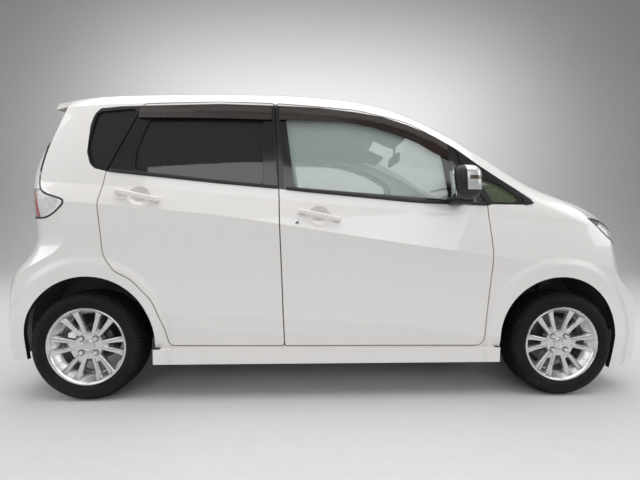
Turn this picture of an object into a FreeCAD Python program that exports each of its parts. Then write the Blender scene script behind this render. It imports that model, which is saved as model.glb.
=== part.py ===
import FreeCAD, Part
import functools
import math
import os
from FreeCAD import Placement, Rotation, Vector

# A small one-box hatchback: X points forward, Z up, the origin lies under the middle of its box.

SIZES = (
    ("wheelbase", 2430, "between the two axles"),
    ("front_overhang", 510, "front axle to the front bumper"),
    ("rear_overhang", 455, "rear axle to the rear bumper"),
    ("body_width", 1475, "over the side panels"),
    ("belt_height", 1000, "ground to the lower edge of the glass"),
    ("sill_height", 200, "ground to the underside of the body"),
    ("body_height", 1620, "ground to the top of the roof"),
    ("front_track", 1300, "between the front wheel centres"),
    ("rear_track", 1290, "between the rear wheel centres"),
    ("tyre_radius", 273, "of the tyre as it carries the car"),
    ("tyre_width", 157, "over the side walls"),
    ("tyre_wall", 8, "thickness of a side wall"),
    ("tread_depth", 14, "thickness of the tread and belt"),
    ("rim_radius", 195, "over the lip of the rim"),
    ("rim_width", 140, "over both lips"),
    ("bead_radius", 178, "bead seat of the rim"),
    ("arch_radius", 322, "wheel arch opening"),
    ("arch_rise", 33, "arch centre above the axle"),
    ("arch_shift", 18, "arch centre from the axle towards the middle"),
    ("panel_gap", 6, "between a moving panel and its neighbours"),
    ("seam_gap", 0.6, "between two fixed panels"),
    ("seat_gap", 0.4, "between a closed panel and the lip it rests on"),
    ("door_depth", 60, "thickness of a door below the glass"),
    ("door_frame_depth", 30, "thickness of a door's window frame"),
    ("wall_depth", 86, "thickness of the body side below the glass"),
    ("pillar_depth", 58, "thickness of the body side beside the glass"),
    ("roof_depth", 34, "thickness of the roof"),
    ("panel_depth", 22, "thickness of a wing, bonnet or bumper"),
    ("tailgate_depth", 56, "thickness of the tailgate"),
    ("glass_depth", 5, "thickness of the glass"),
    ("glass_inset", 9, "side glass below the door's outer face"),
    ("rebate", 42, "overlap of a door on the body behind it"),
    ("disc_radius", 128, "front brake disc"),
    ("disc_depth", 12, "thickness of the disc"),
    ("disc_inset", 35, "inner face of the disc inboard of the wheel's middle"),
    ("bell_radius", 70, "raised middle of the disc"),
    ("bell_depth", 37, "over the disc and its raised middle"),
    ("drum_radius", 100, "rear brake drum"),
    ("drum_depth", 55, "width of the drum"),
    ("drum_inset", 60, "inner face of the drum inboard of the wheel's middle"),
    ("hub_radius", 62, "raised middle of the drum"),
    ("hub_depth", 62, "over the drum and its raised middle"),
    ("spring_radius", 52, "strut spring and its rubber"),
    ("spring_bore", 30, "through the spring for the strut"),
    ("spring_length", 80.6, "of the loaded spring"),
    ("spring_height", 580.3, "ground to the foot of the spring"),
    ("shaft_radius", 13, "drive shaft"),
    ("shaft_clearance", 22.5, "drive shaft end inboard of the steering axis"),
    ("engine_length", 360, "block of engine and gearbox along the car"),
    ("engine_width", 600, "block of engine and gearbox across the car"),
    ("engine_rear", 60, "block's rear face behind the front axle"),
    ("radiator_depth", 27.7, "along the car"),
    ("radiator_width", 776, "across the car"),
    ("tank_length", 340, "fuel tank along the car"),
    ("tank_width", 860, "fuel tank across the car"),
    ("lid_depth", 6, "thickness of the fuel lid"),
    ("filler_depth", 34, "pocket behind the fuel lid"),
    ("kingpin_offset", 110, "steering axis inboard of the wheel's middle"),
    ("steering_wheel_radius", 182, "of the rim's middle line"),
    ("handle_length", 216, "pull bar of a door handle"),
    ("handle_depth", 16, "thickness of the pull bar"),
    ("handle_height", 25, "height of the pull bar"),
    ("handle_inset", 16, "door skin at the handles from the car's full width"),
    ("handle_stand", 20, "middle of the pull bar outside the door skin"),
    ("cup_radius", 50, "round cup behind a pull bar"),
    ("spoiler_depth", 26, "thickness of the spoiler lip"),
    ("spoiler_reach", 92, "spoiler lip behind the tailgate"),
    ("plate_hole_spacing", 210, "between the two holes for a number plate"),
    ("plate_hole_radius", 3, "for a self-tapping plate screw"),
    ("front_plate_hole_depth", 18, "of the front holes for a number plate"),
    ("rear_plate_hole_depth", 26, "of the rear holes for a number plate"),
    ("jack_pad_length", 60, "flat pad under the sill for a jack"),
    ("jack_pad_width", 40, "flat pad under the sill for a jack"),
    ("jack_pad_height", 192, "ground to the underside of a jack pad"),
    ("lug_circle", 100, "across the circle of the four wheel bolts"),
    ("lug_hole_radius", 6.5, "for one wheel bolt"),
    ("seat_width", 500, "one front seat"),
    ("seat_offset", 330, "seat middle from the car's middle plane"),
)

# The drawing's own reference lines, at which the sizes above have no effect.
DRAWN_AXLE = 1215.0
DRAWN_FRONT_OVERHANG = 510.0
DRAWN_REAR_OVERHANG = 455.0
DRAWN_HALF_WIDTH = 737.5
DRAWN_HEIGHTS = (0.0, 200.0, 1000.0, 1620.0)

doc = FreeCAD.newDocument("KeiCar")
sheet = doc.addObject("Spreadsheet::Sheet", "Sizes")
for row, (alias, value, note) in enumerate(SIZES, start=1):
    sheet.set("A%d" % row, alias)
    sheet.set("B%d" % row, str(value))
    sheet.set("C%d" % row, note)
    sheet.setAlias("B%d" % row, alias)
doc.recompute()

NODES = []


def size(alias):
    return float(sheet.get(alias))


def along(x):
    """Place a drawn distance from the wheelbase's middle along the car."""
    half = size("wheelbase") / 2
    if x > DRAWN_AXLE:
        place = half + (x - DRAWN_AXLE) * size("front_overhang") / DRAWN_FRONT_OVERHANG
    elif x < -DRAWN_AXLE:
        place = -half + (x + DRAWN_AXLE) * size("rear_overhang") / DRAWN_REAR_OVERHANG
    else:
        place = x * half / DRAWN_AXLE
    return place - (size("front_overhang") - size("rear_overhang")) / 2


def across(y):
    """Place a drawn distance from the middle plane across the car."""
    return y * size("body_width") / 2 / DRAWN_HALF_WIDTH


def upward(z):
    """Place a drawn height between the ground, sill, belt and roof heights."""
    real = (0.0, size("sill_height"), size("belt_height"), size("body_height"))
    for low in range(3):
        if z <= DRAWN_HEIGHTS[low + 1] or low == 2:
            share = (z - DRAWN_HEIGHTS[low]) / (DRAWN_HEIGHTS[low + 1] - DRAWN_HEIGHTS[low])
            return real[low] + share * (real[low + 1] - real[low])


def along_cells(x):
    """Formula that places a drawn distance from the wheelbase's middle along the car."""
    if x > DRAWN_AXLE:
        beyond = (x - DRAWN_AXLE) / DRAWN_FRONT_OVERHANG
        place = "Sizes.wheelbase / 2 + %.9f * Sizes.front_overhang" % beyond
    elif x < -DRAWN_AXLE:
        beyond = (x + DRAWN_AXLE) / DRAWN_REAR_OVERHANG
        place = "-Sizes.wheelbase / 2 + %.9f * Sizes.rear_overhang" % beyond
    else:
        place = "%.9f * Sizes.wheelbase" % (x / DRAWN_AXLE / 2)
    return place + " - (Sizes.front_overhang - Sizes.rear_overhang) / 2"


def height_cells(z):
    """Formula that places a drawn height up to the belt."""
    if z <= DRAWN_HEIGHTS[1]:
        return "%.9f * Sizes.sill_height" % (z / DRAWN_HEIGHTS[1])
    share = (z - DRAWN_HEIGHTS[1]) / (DRAWN_HEIGHTS[2] - DRAWN_HEIGHTS[1])
    return "(Sizes.sill_height + %.9f * (Sizes.belt_height - Sizes.sill_height))" % share


def put(feature, place, turn):
    """Bind a feature's place to the sheet and turn it about X."""
    feature.Placement = Placement(Vector(0, 0, 0), Rotation(Vector(1, 0, 0), turn))
    for key, formula in zip("xyz", place):
        feature.setExpression("Placement.Base." + key, formula)


def bound(kind, name, place, turn=0, **lengths):
    """Primitive with its sizes and its place bound to the sheet."""
    feature = doc.addObject(kind, name)
    put(feature, place, turn)
    for key, formula in lengths.items():
        feature.setExpression(key, formula)
    return feature


def keep(feature):
    """List a finished object as a sub-part with its own label."""
    feature.Label = feature.Name
    NODES.append(feature)


def add(name, shape):
    """Keep a finished shape as a sub-part."""
    feature = doc.addObject("Part::Feature", name)
    feature.Shape = shape
    keep(feature)


def solids(shape):
    """Return the shape's solids as one plain shape, without slivers."""
    kept = [solid for solid in shape.Solids if solid.Volume > 500]
    if len(kept) == 1:
        return kept[0]
    return Part.makeCompound(kept)


def mirrored(shape):
    return shape.mirror(Vector(0, 0, 0), Vector(0, 1, 0))


# Body skin

# Each station across the body: its place along the car, half width, heights of the lower
# crease, upper crease and shoulder, the shoulder's set-in, then height and half width of
# the roof rail, height and half width of the roof's edge, the crown's height and the base.
STATIONS = (
    (-1780, 700, 430, 1010, 1100, 30, 1380, 600, 1430, 520, 1470, 200),
    (-1560, 715, 440, 1003, 1095, 30, 1430, 607, 1490, 530, 1538, 200),
    (-1330, 731, 445, 993, 1085, 30, 1478, 615, 1546, 535, 1587, 205),
    (-1000, 737, 450, 971, 1068, 32, 1503, 622, 1575, 540, 1612, 205),
    (-500, 737.5, 430, 924, 1030, 34, 1515, 625, 1587, 543, 1620, 205),
    (0, 737.5, 405, 852, 992, 36, 1500, 626, 1576, 542, 1610, 205),
    (330, 737.5, 385, 803, 966, 37, 1440, 630, 1520, 545, 1572, 205),
    (600, 737.5, 350, 766, 950, 36, 1322, 645, 1402, 562, 1452, 205),
    (850, 737, 320, 732, 937, 32, 1158, 667, 1250, 590, 1304, 200),
    (1080, 735, 310, 702, 920, 26, 1035, 682, 1108, 603, 1148, 190),
    (1250, 730, 310, 692, 905, 24, 982, 684, 1045, 603, 1093, 165),
    (1400, 718, 310, 685, 880, 24, 938, 668, 990, 590, 1045, 140),
    (1500, 706, 310, 672, 838, 24, 868, 658, 925, 580, 975, 128),
    (1580, 692, 310, 650, 765, 24, 785, 645, 845, 565, 885, 125),
    (1660, 676, 310, 620, 690, 24, 705, 628, 748, 545, 785, 125),
    (1790, 650, 310, 560, 600, 24, 612, 600, 640, 520, 665, 125),
)

# Rows up each end of the car: height, place at the middle plane, growth of the corner's rounding.
FRONT_ROWS = (
    (90, 1560, 1.0), (128, 1632, 1.0), (150, 1700, 1.0), (200, 1722, 1.0), (300, 1725, 1.0),
    (399, 1723, 1.0), (480, 1716, 1.02), (522, 1703, 1.05), (576, 1673, 1.15), (640, 1648, 1.3),
    (711, 1638, 1.45), (764, 1632, 1.55), (830, 1618, 1.6), (906, 1598, 1.6), (1100, 1540, 1.6),
    (1700, 1360, 1.6),
)
REAR_ROWS = (
    (60, 1560, 1.0), (120, 1600, 1.0), (204, 1644, 1.0), (300, 1668, 1.0), (450, 1667, 1.0), (580, 1660, 1.1),
    (641, 1647, 1.3), (703, 1617, 1.8), (755, 1597, 2.2), (929, 1588, 2.2), (1094, 1588, 2.2),
    (1180, 1566, 2.2), (1267, 1522, 2.2), (1353, 1472, 2.2), (1455, 1425, 2.2),
    (1540, 1385, 2.2), (1750, 1290, 2.2),
)

# How far each end has turned back at these distances from the middle plane.
FRONT_PLAN = ((0, 0), (300, 8), (500, 25), (600, 40), (650, 56), (690, 88), (720, 128), (760, 215))
REAR_PLAN = ((0, 0), (300, 6), (500, 17), (600, 28), (650, 43), (690, 70), (720, 108), (760, 190))


def bulged(start, end, bulge):
    """Middle pole of a panel's curve that stands proud of its chord."""
    run = (end[0] - start[0], end[1] - start[1])
    length = math.hypot(*run)
    middle = ((start[0] + end[0]) / 2, (start[1] + end[1]) / 2)
    return (middle[0] + bulge * run[1] / length, middle[1] - bulge * run[0] / length)


def section_poles(station, lower, upper, top, bottom):
    """Twelve three-pole curves round the body, set in by the given depths."""
    x, half, low_z, crease_z, shoulder_z, set_in, rail_z, rail_y, edge_z, edge_y, crown_z, base_z = station
    half = across(half) - lower
    base = (half - 34, upward(base_z) + bottom)
    low = (half - 3, upward(low_z))
    crease = (half, upward(crease_z))
    shoulder = (half - set_in, upward(shoulder_z))
    rail = (across(rail_y) - upper, upward(rail_z) - top * 0.5)
    edge = (across(edge_y) - upper * 0.8, upward(edge_z) - top)
    apex = 2 * (upward(crown_z) - top) - edge[1]
    fall = (apex - edge[1]) / edge[0]
    corner_y = edge[0] + 0.55 * (rail[0] - edge[0])
    corner = (corner_y, edge[1] - fall * (corner_y - edge[0]))
    side = [
        (base, bulged(base, low, 6), low),
        (low, bulged(low, crease, -7), crease),
        (crease, bulged(crease, shoulder, 3), shoulder),
        (shoulder, bulged(shoulder, rail, 10), rail),
        (rail, corner, edge),
    ]
    place = along(x)
    right = [[Vector(place, -y, z) for y, z in poles] for poles in side]
    left = [[Vector(place, y, z) for y, z in reversed(poles)] for poles in reversed(side)]
    crown = [Vector(place, -edge[0], edge[1]), Vector(place, 0, apex), Vector(place, edge[0], edge[1])]
    floor = [Vector(place, base[0], base[1]), Vector(place, 0, base[1]), Vector(place, -base[0], base[1])]
    return right + [crown] + left + [floor]


def body_skin(lower=0.0, upper=0.0, top=0.0, bottom=0.0):
    """Solid inside the body's side and top surfaces, set in by the given depths."""
    sections = [section_poles(station, lower, upper, top, bottom) for station in STATIONS]
    places = [section[0][0].x for section in sections]
    steps = [(place - places[0]) / (places[-1] - places[0]) for place in places]
    faces = []
    for strip in range(len(sections[0])):
        rows = []
        for pole in range(3):
            line = Part.BSplineCurve()
            line.interpolate(Points=[section[strip][pole] for section in sections], Parameters=steps)
            rows.append(line.getPoles())
        surface = Part.BSplineSurface()
        surface.buildFromPolesMultsKnots(
            rows, [3, 3], line.getMultiplicities(), [0, 1], line.getKnots(), False, False, 2, 3)
        faces.append(surface.toShape())
    for section in (sections[0], sections[-1]):
        edges = []
        for poles in section:
            curve = Part.BezierCurve()
            curve.setPoles(poles)
            edges.append(curve.toShape())
        faces.append(Part.Face(Part.Wire(edges)))
    shell = Part.Shell(faces)
    shell.sewShape()
    skin = Part.Solid(shell)
    if skin.Volume < 0:
        skin.reverse()
    return skin


def end_solid(rows, plan, direction, inset):
    """Solid behind the bowed front or rear face of the car."""
    turns = [(-y, back) for y, back in reversed(plan[1:])] + list(plan)
    span = turns[-1][0] - turns[0][0]
    across_steps = [(y - turns[0][0]) / span for y, back in turns]
    climb = [0.0]
    for lower_row, upper_row in zip(rows, rows[1:]):
        climb.append(climb[-1] + math.hypot(upper_row[0] - lower_row[0], upper_row[1] - lower_row[1]))
    up_steps = [rise / climb[-1] for rise in climb]
    lines = []
    for z, x, growth in rows:
        points = []
        for y, back in turns:
            place = along(direction * (x - growth * back)) - direction * inset
            points.append(Vector(place, across(y), upward(z)))
        line = Part.BSplineCurve()
        line.interpolate(Points=points, Parameters=across_steps)
        lines.append(line)
    columns = []
    for pole in range(lines[0].NbPoles):
        column = Part.BSplineCurve()
        column.interpolate(Points=[line.getPole(pole + 1) for line in lines], Parameters=up_steps)
        columns.append(column)
    surface = Part.BSplineSurface()
    surface.buildFromPolesMultsKnots(
        [column.getPoles() for column in columns],
        lines[0].getMultiplicities(), columns[0].getMultiplicities(),
        lines[0].getKnots(), columns[0].getKnots(), False, False, 3, 3)
    return surface.toShape().extrude(Vector(-direction * size("wheelbase") * 1.6, 0, 0))


@functools.lru_cache(maxsize=None)
def hull(lower=0.0, upper=0.0, top=0.0, bottom=0.0, ends=0.0):
    """The whole body as one solid, set in by the given depths."""
    skin = body_skin(lower, upper, top, bottom)
    skin = skin.common(end_solid(FRONT_ROWS, FRONT_PLAN, 1, ends))
    return skin.common(end_solid(REAR_ROWS, REAR_PLAN, -1, ends))


def even_hull(depth):
    """The whole body set in by one depth all round, with its underside left in place."""
    return hull(depth, depth, depth, 0, depth)


# Outlines in side view

SHORTEST_ARC = 0.5


def rounded_wire(corners):
    """Closed outline in side view; each corner is (x, z) or (x, z, radius)."""
    points = [Vector(along(c[0]), 0, upward(c[1])) for c in corners]
    radii = [c[2] if len(c) > 2 else 0.0 for c in corners]
    count = len(points)
    arcs = []
    for i, point in enumerate(points):
        before = points[i - 1] - point
        after = points[(i + 1) % count] - point
        half_turn = (math.pi - before.getAngle(after)) / 2
        reach = min(radii[i] * math.tan(half_turn), 0.48 * before.Length, 0.48 * after.Length)
        if reach < SHORTEST_ARC:
            arcs.append((point, point, point))
            continue
        radius = reach / math.tan(half_turn)
        before.normalize()
        after.normalize()
        inward = before + after
        inward.normalize()
        middle = point + inward * (radius / math.cos(half_turn) - radius)
        arcs.append((point + before * reach, middle, point + after * reach))
    edges = []
    for i, (start, middle, end) in enumerate(arcs):
        if start != end:
            edges.append(Part.Arc(start, middle, end).toShape())
        edges.append(Part.makeLine(end, arcs[(i + 1) % count][0]))
    return Part.Wire(edges)


def prism(wire, near=-1000.0, far=1000.0):
    """Solid through the car from an outline in side view."""
    face = Part.Face(wire)
    face.translate(Vector(0, near, 0))
    return face.extrude(Vector(0, far - near, 0))


def grown(wire, distance):
    return wire.makeOffset2D(distance, join=0) if distance else wire


def block(x0, x1, y0, y1, z0, z1):
    return Part.makeBox(x1 - x0, y1 - y0, z1 - z0, Vector(x0, y0, z0))


FRONT_DOOR = (
    (784, 276, 40), (826, 735, 900), (806, 994, 60), (674, 1205, 120), (655, 1288, 30),
    (405, 1427, 300), (134, 1488, 500), (-289, 1514, 20), (-262, 1066), (-228, 278, 12),
)
REAR_DOOR = (
    (-234, 278, 12), (-268, 1066), (-295, 1514, 20), (-573, 1517, 200), (-955, 1500, 30),
    (-1112, 1135, 60), (-1133, 985, 200), (-1112, 730, 120), (-1060, 655, 60), (-985, 618, 200),
    (-880, 510, 200), (-822, 370, 150), (-800, 282, 25),
)
FRONT_WINDOW = (
    (755, 1012, 30), (640, 1205, 60), (602, 1268, 60), (440, 1362, 300), (190, 1424, 300),
    (-70, 1446, 100), (-238, 1448, 25), (-186, 1076, 25),
)
REAR_WINDOW = (
    (-345, 1088, 25), (-352, 1449, 25), (-700, 1455, 200), (-918, 1440, 60), (-975, 1260, 80),
    (-978, 1150, 30),
)
FIXED_WINDOW = ((838, 1012, 12), (752, 1150, 10), (880, 1105, 200), (1020, 1010, 20))
QUARTER_WINDOW = (
    (-1190, 1455, 40), (-975, 1478, 25), (-1128, 1160, 30), (-1178, 1166, 60), (-1217, 1260, 200),
)
TAILGATE_SEAM = (
    (-1474, 700), (-1470, 1062, 200), (-1452, 1180, 300), (-1385, 1342, 300), (-1250, 1486, 120),
    (-1236, 1700), (-1900, 1700), (-1900, 700),
)
TAIL_LAMP = (
    (-1318, 999, 8), (-1334, 966, 15), (-1397, 925, 100), (-1478, 911, 10), (-1900, 905), (-1900, 1062),
    (-1431, 1056, 20), (-1378, 1028, 60),
)
REAR_BUMPER = (
    (-1380, 560), (-1440, 700, 120), (-1424, 800, 15), (-1560, 806, 40), (-1900, 806), (-1900, 100),
    (-1300, 100),
)
LAMP_FOOT = ((1500, 806, 60), (1590, 786, 40), (1800, 780))
HEADLAMP = ((1352, 936, 6), (1409, 886, 40), (1457, 838, 40)) + LAMP_FOOT + (
    (1800, 850), (1590, 862, 100), (1498, 904, 60), (1425, 929, 60),
)
BUMPER_TOP = tuple((corner[0], corner[1] - 1) + corner[2:] for corner in LAMP_FOOT)
FRONT_BUMPER = ((1440, 50), (1440, 520), (1462, 640, 80), (1478, 821.4)) + BUMPER_TOP + (
    (1900, 775), (1900, 50),
)
# Jack points along the sills.
JACK_POINTS = (700, -720)
# Air intakes in the front bumper: half width, lower and upper edge, rounding.
INTAKES = ((330, 235, 340, 18), (290, 700, 742, 14))
# Handle of each door: its middle along the car and its height; both fall forward by the slope.
HANDLE_SLOPE = 11.5
HANDLES = {"front": (-60, 936), "rear": (-944, 1025)}
FUEL_LID = ((-1360, 770, 20), (-1360, 905, 20), (-1220, 905, 20), (-1220, 770, 20))
FENDER = (
    (790, 276), (832, 735, 900), (812, 1000, 20), (1044, 1000, 20), (1056, 1098), (1110, 1095),
    (1244, 1034, 200), (1352, 942, 20), (1450, 880), (1478, 822.4), (1462, 640, 80), (1440, 520),
    (1440, 100), (870, 100), (870, 276),
)


def with_handle(door, x, z):
    """Door with a round cup in its skin and a pull bar across the cup."""
    middle = Vector(along(x), -size("body_width") / 2 + size("handle_inset"), upward(z))
    cup = Part.makeSphere(size("cup_radius") * 1.25, middle - Vector(0, size("cup_radius") * 0.5, 0))
    length, depth, height = size("handle_length"), size("handle_depth"), size("handle_height")
    bar = Part.makeBox(length, depth, height, Vector(-length / 2, -depth / 2, -height / 2))
    bar = bar.makeFillet(depth * 0.42, bar.Edges)
    feet = []
    for end in (-1, 1):
        foot = block(-13, 13, 0, 36, -9, 9)
        foot.translate(Vector(end * (length / 2 - 16), 0, 0))
        feet.append(foot)
    bar = bar.fuse(feet)
    outside = middle - Vector(0, size("handle_stand"), 0)
    bar.Placement = Placement(outside, Rotation(Vector(0, 1, 0), HANDLE_SLOPE))
    return door.cut(cup).fuse(bar).removeSplitter()


def plate_holes(sign, height, depth):
    """Two blind holes for a number plate in the front (1) or rear (-1) face."""
    rows = FRONT_ROWS if sign > 0 else REAR_ROWS
    below = max(row for row in rows if row[0] <= height)
    above = min(row for row in rows if row[0] > height)
    share = (height - below[0]) / (above[0] - below[0])
    face = along(sign * (below[1] + share * (above[1] - below[1])))
    holes = []
    for side in (-1, 1):
        start = Vector(face + sign * 30, side * size("plate_hole_spacing") / 2, upward(height))
        end = start - Vector(sign * (30 + depth), 0, 0)
        holes.append(tube(size("plate_hole_radius"), start, end))
    return holes[0].fuse(holes[1])


def spoiler():
    """Lip that carries the roof's curve on over the tailgate glass."""
    shell = body_skin().cut(body_skin(top=size("spoiler_depth")))
    shell = shell.common(end_solid(REAR_ROWS, REAR_PLAN, -1, -size("spoiler_reach")))
    half = across(540)
    return shell.common(block(-3000, along(-1268), -half, half, upward(1470), 2000))


def body_panels():
    """Everything cut from the hull, with its panel gaps."""
    gap = size("panel_gap")
    seam = size("seam_gap")
    outer = hull()
    cabin = hull(size("wall_depth"), size("pillar_depth"), size("roof_depth"), -5, size("wall_depth"))
    door_top = size("roof_depth") - 4
    door_back = hull(size("door_depth"), size("door_frame_depth"), door_top, 0, size("wall_depth"))
    panel_back = even_hull(size("panel_depth"))
    gate_back = even_hull(size("tailgate_depth"))
    seat = size("seat_gap")
    door_seat = hull(
        size("door_depth") + seat, size("door_frame_depth") + seat, door_top + seat, 0, size("wall_depth"))
    glass_face = even_hull(size("glass_inset"))
    glass_back = even_hull(size("glass_inset") + size("glass_depth"))
    right_side = (-1000, -300)

    front_door_wire = rounded_wire(FRONT_DOOR)
    rear_door_wire = rounded_wire(REAR_DOOR)
    windows = {
        "front": rounded_wire(FRONT_WINDOW), "rear": rounded_wire(REAR_WINDOW),
        "fixed": rounded_wire(FIXED_WINDOW), "quarter": rounded_wire(QUARTER_WINDOW),
    }
    glass = glass_face.cut(glass_back)
    panes = {}
    for key, wire in windows.items():
        panes[key] = glass.common(prism(grown(wire, -0.6), *right_side))

    arch = {}
    for key, sign in (("front", 1), ("rear", -1)):
        centre = axle(sign)
        centre.x -= sign * size("arch_shift")
        centre.z += size("arch_rise")
        radius = size("arch_radius")
        arch[key] = Part.makeCylinder(radius, 2000, centre - Vector(0, 1000, 0), Vector(0, 1, 0))
        arch[key] = arch[key].fuse(block(centre.x - radius, centre.x + radius, -1000, 1000, 0, centre.z))

    doors = {}
    for key, wire in (("front", front_door_wire), ("rear", rear_door_wire)):
        door = outer.cut(door_back).common(prism(wire, *right_side))
        doors[key] = with_handle(door.cut(prism(windows[key], *right_side)), *HANDLES[key])

    seam_prism = prism(grown(rounded_wire(TAILGATE_SEAM), -gap / 2))
    lamp_prism = prism(rounded_wire(TAIL_LAMP))
    rear_bumper_prism = prism(rounded_wire(REAR_BUMPER))
    front_bumper_prism = prism(rounded_wire(FRONT_BUMPER))
    headlamp_prism = prism(rounded_wire(HEADLAMP))
    fender_prism = prism(rounded_wire(FENDER))
    rear_panel = even_hull(size("tailgate_depth") + seat).cut(even_hull(size("tailgate_depth") + seat + 14))
    rear_panel = rear_panel.common(block(-3000, 0, -across(585), across(585), upward(430), upward(790)))
    gate_half = across(592)
    gate_low = block(-3000, 0, -gate_half, gate_half, upward(757), upward(1075))
    gate_high = block(-3000, 0, -900, 900, upward(1062), 2000)
    gate_room = seam_prism.common(gate_low.fuse(gate_high))

    tailgate = outer.cut(gate_back).common(gate_room)
    rear_window = block(-3000, along(-1250), -across(560), across(560), upward(1130), upward(1480))
    tailgate_pane = glass.common(rear_window.common(prism(grown(rounded_wire(TAILGATE_SEAM), -60))))
    tailgate = tailgate.cut(rear_window).fuse(spoiler())
    tailgate = tailgate.cut(plate_holes(-1, 850, size("rear_plate_hole_depth")))

    bumper_rear = outer.cut(panel_back).common(rear_bumper_prism).cut(gate_room).cut(arch["rear"])
    bumper_front = outer.cut(panel_back).common(front_bumper_prism).cut(arch["front"])
    for half, low, high, round_off in INTAKES:
        mouth = block(along(1450), 3000, -across(half), across(half), upward(low), upward(high))
        bumper_front = bumper_front.cut(mouth.makeFillet(round_off, mouth.Edges))
    bumper_front = bumper_front.cut(plate_holes(1, 470, size("front_plate_hole_depth")))
    lamp_half = across(590 + gap)
    tail_lamp = outer.cut(gate_back).common(lamp_prism)
    tail_lamp = tail_lamp.common(block(-3000, 0, -900, -lamp_half, 0, 2000))

    hood_half = across(642)
    hood_top = block(along(1062), 3000, -hood_half, hood_half, upward(786), 2000)
    hood = outer.cut(panel_back).common(hood_top)
    for wire in (FENDER, FRONT_BUMPER):
        hood = hood.cut(prism(grown(rounded_wire(wire), gap)))
    lamp_inner = across(400)
    lamp_room = prism(grown(rounded_wire(HEADLAMP), gap), -1000, gap - lamp_inner)
    hood = hood.cut(lamp_room).cut(mirrored(lamp_room))
    headlamp = outer.cut(panel_back).common(headlamp_prism).common(block(0, 3000, -900, -lamp_inner, 0, 2000))
    fender = outer.cut(panel_back).common(fender_prism).common(block(0, 3000, -900, -200, 0, 2000))
    fender = fender.cut(arch["front"]).cut(headlamp_prism)

    edge_half = across(552)
    roof_room = block(along(-1240), along(372), -edge_half, edge_half, upward(1200), 2000)
    screen_room = block(along(372) + seam, along(1040), -edge_half, edge_half, upward(1020), 2000)
    cowl_room = block(along(1040) + seam, along(1062) - gap, -edge_half, edge_half, upward(1020), 2000)
    cowl = outer.cut(panel_back).common(cowl_room)
    roof = outer.cut(cabin).common(roof_room).cut(gate_room)
    windscreen = glass.common(screen_room)

    side = outer.cut(cabin)
    side = side.common(block(-3000, along(1100), -900, -edge_half - seam, 0, 2000))
    bonnet_end = block(along(1062) - gap, 3000, -hood_half - gap, 0, upward(786), 2000)
    for tool in (gate_room, lamp_prism, rear_bumper_prism, fender_prism, bonnet_end, *arch.values()):
        side = side.cut(tool)
    for wire, key in ((front_door_wire, "front"), (rear_door_wire, "rear")):
        side = side.cut(prism(grown(wire, gap), *right_side).cut(door_seat))
        side = side.cut(prism(grown(wire, -size("rebate")), *right_side))
    for key in ("fixed", "quarter"):
        side = side.cut(prism(windows[key], *right_side))
    skirt_inner = -across(660)
    half_pad = size("jack_pad_length") / 2
    for x in JACK_POINTS:
        ends = (along(x) - half_pad, along(x) + half_pad)
        edges = (skirt_inner + seat, skirt_inner + seat + size("jack_pad_width"))
        side = side.fuse(block(*ends, *edges, size("jack_pad_height"), upward(206)))

    skirt = block(along(-876), along(870), -across(741), skirt_inner, upward(193), upward(268)).cut(outer)
    lid_wire = rounded_wire(FUEL_LID)
    lid_back = hull(size("lid_depth"), size("lid_depth"), 0, 0, 0)
    lid = outer.cut(lid_back).common(prism(lid_wire, 300, 1000))
    lid_seat = hull(size("lid_depth") + seat, size("lid_depth") + seat, 0, 0, 0)
    pocket_back = hull(size("lid_depth") + size("filler_depth"), size("lid_depth"), 0, 0, 0)
    pocket = prism(grown(lid_wire, gap / 2), 300, 1000).cut(lid_seat)
    pocket = pocket.fuse(prism(grown(lid_wire, -gap), 300, 1000).cut(pocket_back))
    add("side_frame_right", solids(side))
    add("side_frame_left", solids(mirrored(solids(side)).cut(pocket)))
    add("fuel_lid", solids(lid))
    skirt = solids(skirt)
    add("side_skirts", Part.makeCompound([skirt, mirrored(skirt)]))
    add("roof_panel", solids(roof))
    add("front_door_right", solids(doors["front"]))
    add("rear_door_right", solids(doors["rear"]))
    add("front_door_left", mirrored(solids(doors["front"])))
    add("rear_door_left", mirrored(solids(doors["rear"])))
    add("front_door_glass_right", solids(panes["front"]))
    add("rear_door_glass_right", solids(panes["rear"]))
    add("front_door_glass_left", mirrored(solids(panes["front"])))
    add("rear_door_glass_left", mirrored(solids(panes["rear"])))
    fixed = [panes["fixed"], panes["quarter"], mirrored(panes["fixed"]), mirrored(panes["quarter"])]
    add("side_fixed_glass", Part.makeCompound(fixed))
    add("fender_right", solids(fender))
    add("fender_left", mirrored(solids(fender)))
    add("bonnet", solids(hood))
    add("windscreen", solids(windscreen))
    add("cowl_panel", solids(cowl))
    add("headlamps", Part.makeCompound([solids(headlamp), mirrored(solids(headlamp))]))
    add("tail_lamps", Part.makeCompound([solids(tail_lamp), mirrored(solids(tail_lamp))]))
    add("front_bumper", solids(bumper_front))
    add("rear_bumper", solids(bumper_rear))
    add("rear_panel", solids(rear_panel))
    slam = even_hull(size("panel_depth") + seat).cut(even_hull(size("panel_depth") + seat + 14))
    slam_room = block(0, 3000, -across(330), across(330), upward(640), upward(850))
    add("bonnet_slam_panel", solids(slam.common(slam_room)))
    add("tailgate", solids(tailgate))
    add("tailgate_glass", solids(tailgate_pane))


def axle(sign):
    """Middle of the front (1) or rear (-1) axle."""
    return Vector(along(sign * DRAWN_AXLE), 0, size("tyre_radius"))


# Wheels

def origin_item(body, role):
    """Plane or axis of the body's own origin."""
    return next(item for item in body.Origin.OriginFeatures if item.Role == role)


def plane_sketch(body, name, role, start="0"):
    """Sketch on a plane of the body's origin, at a bound distance from it."""
    sketch = body.newObject("Sketcher::SketchObject", name)
    sketch.AttachmentSupport = (origin_item(body, role), [""])
    sketch.MapMode = "FlatFace"
    sketch.setExpression("AttachmentOffset.Base.z", start)
    return sketch


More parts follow.
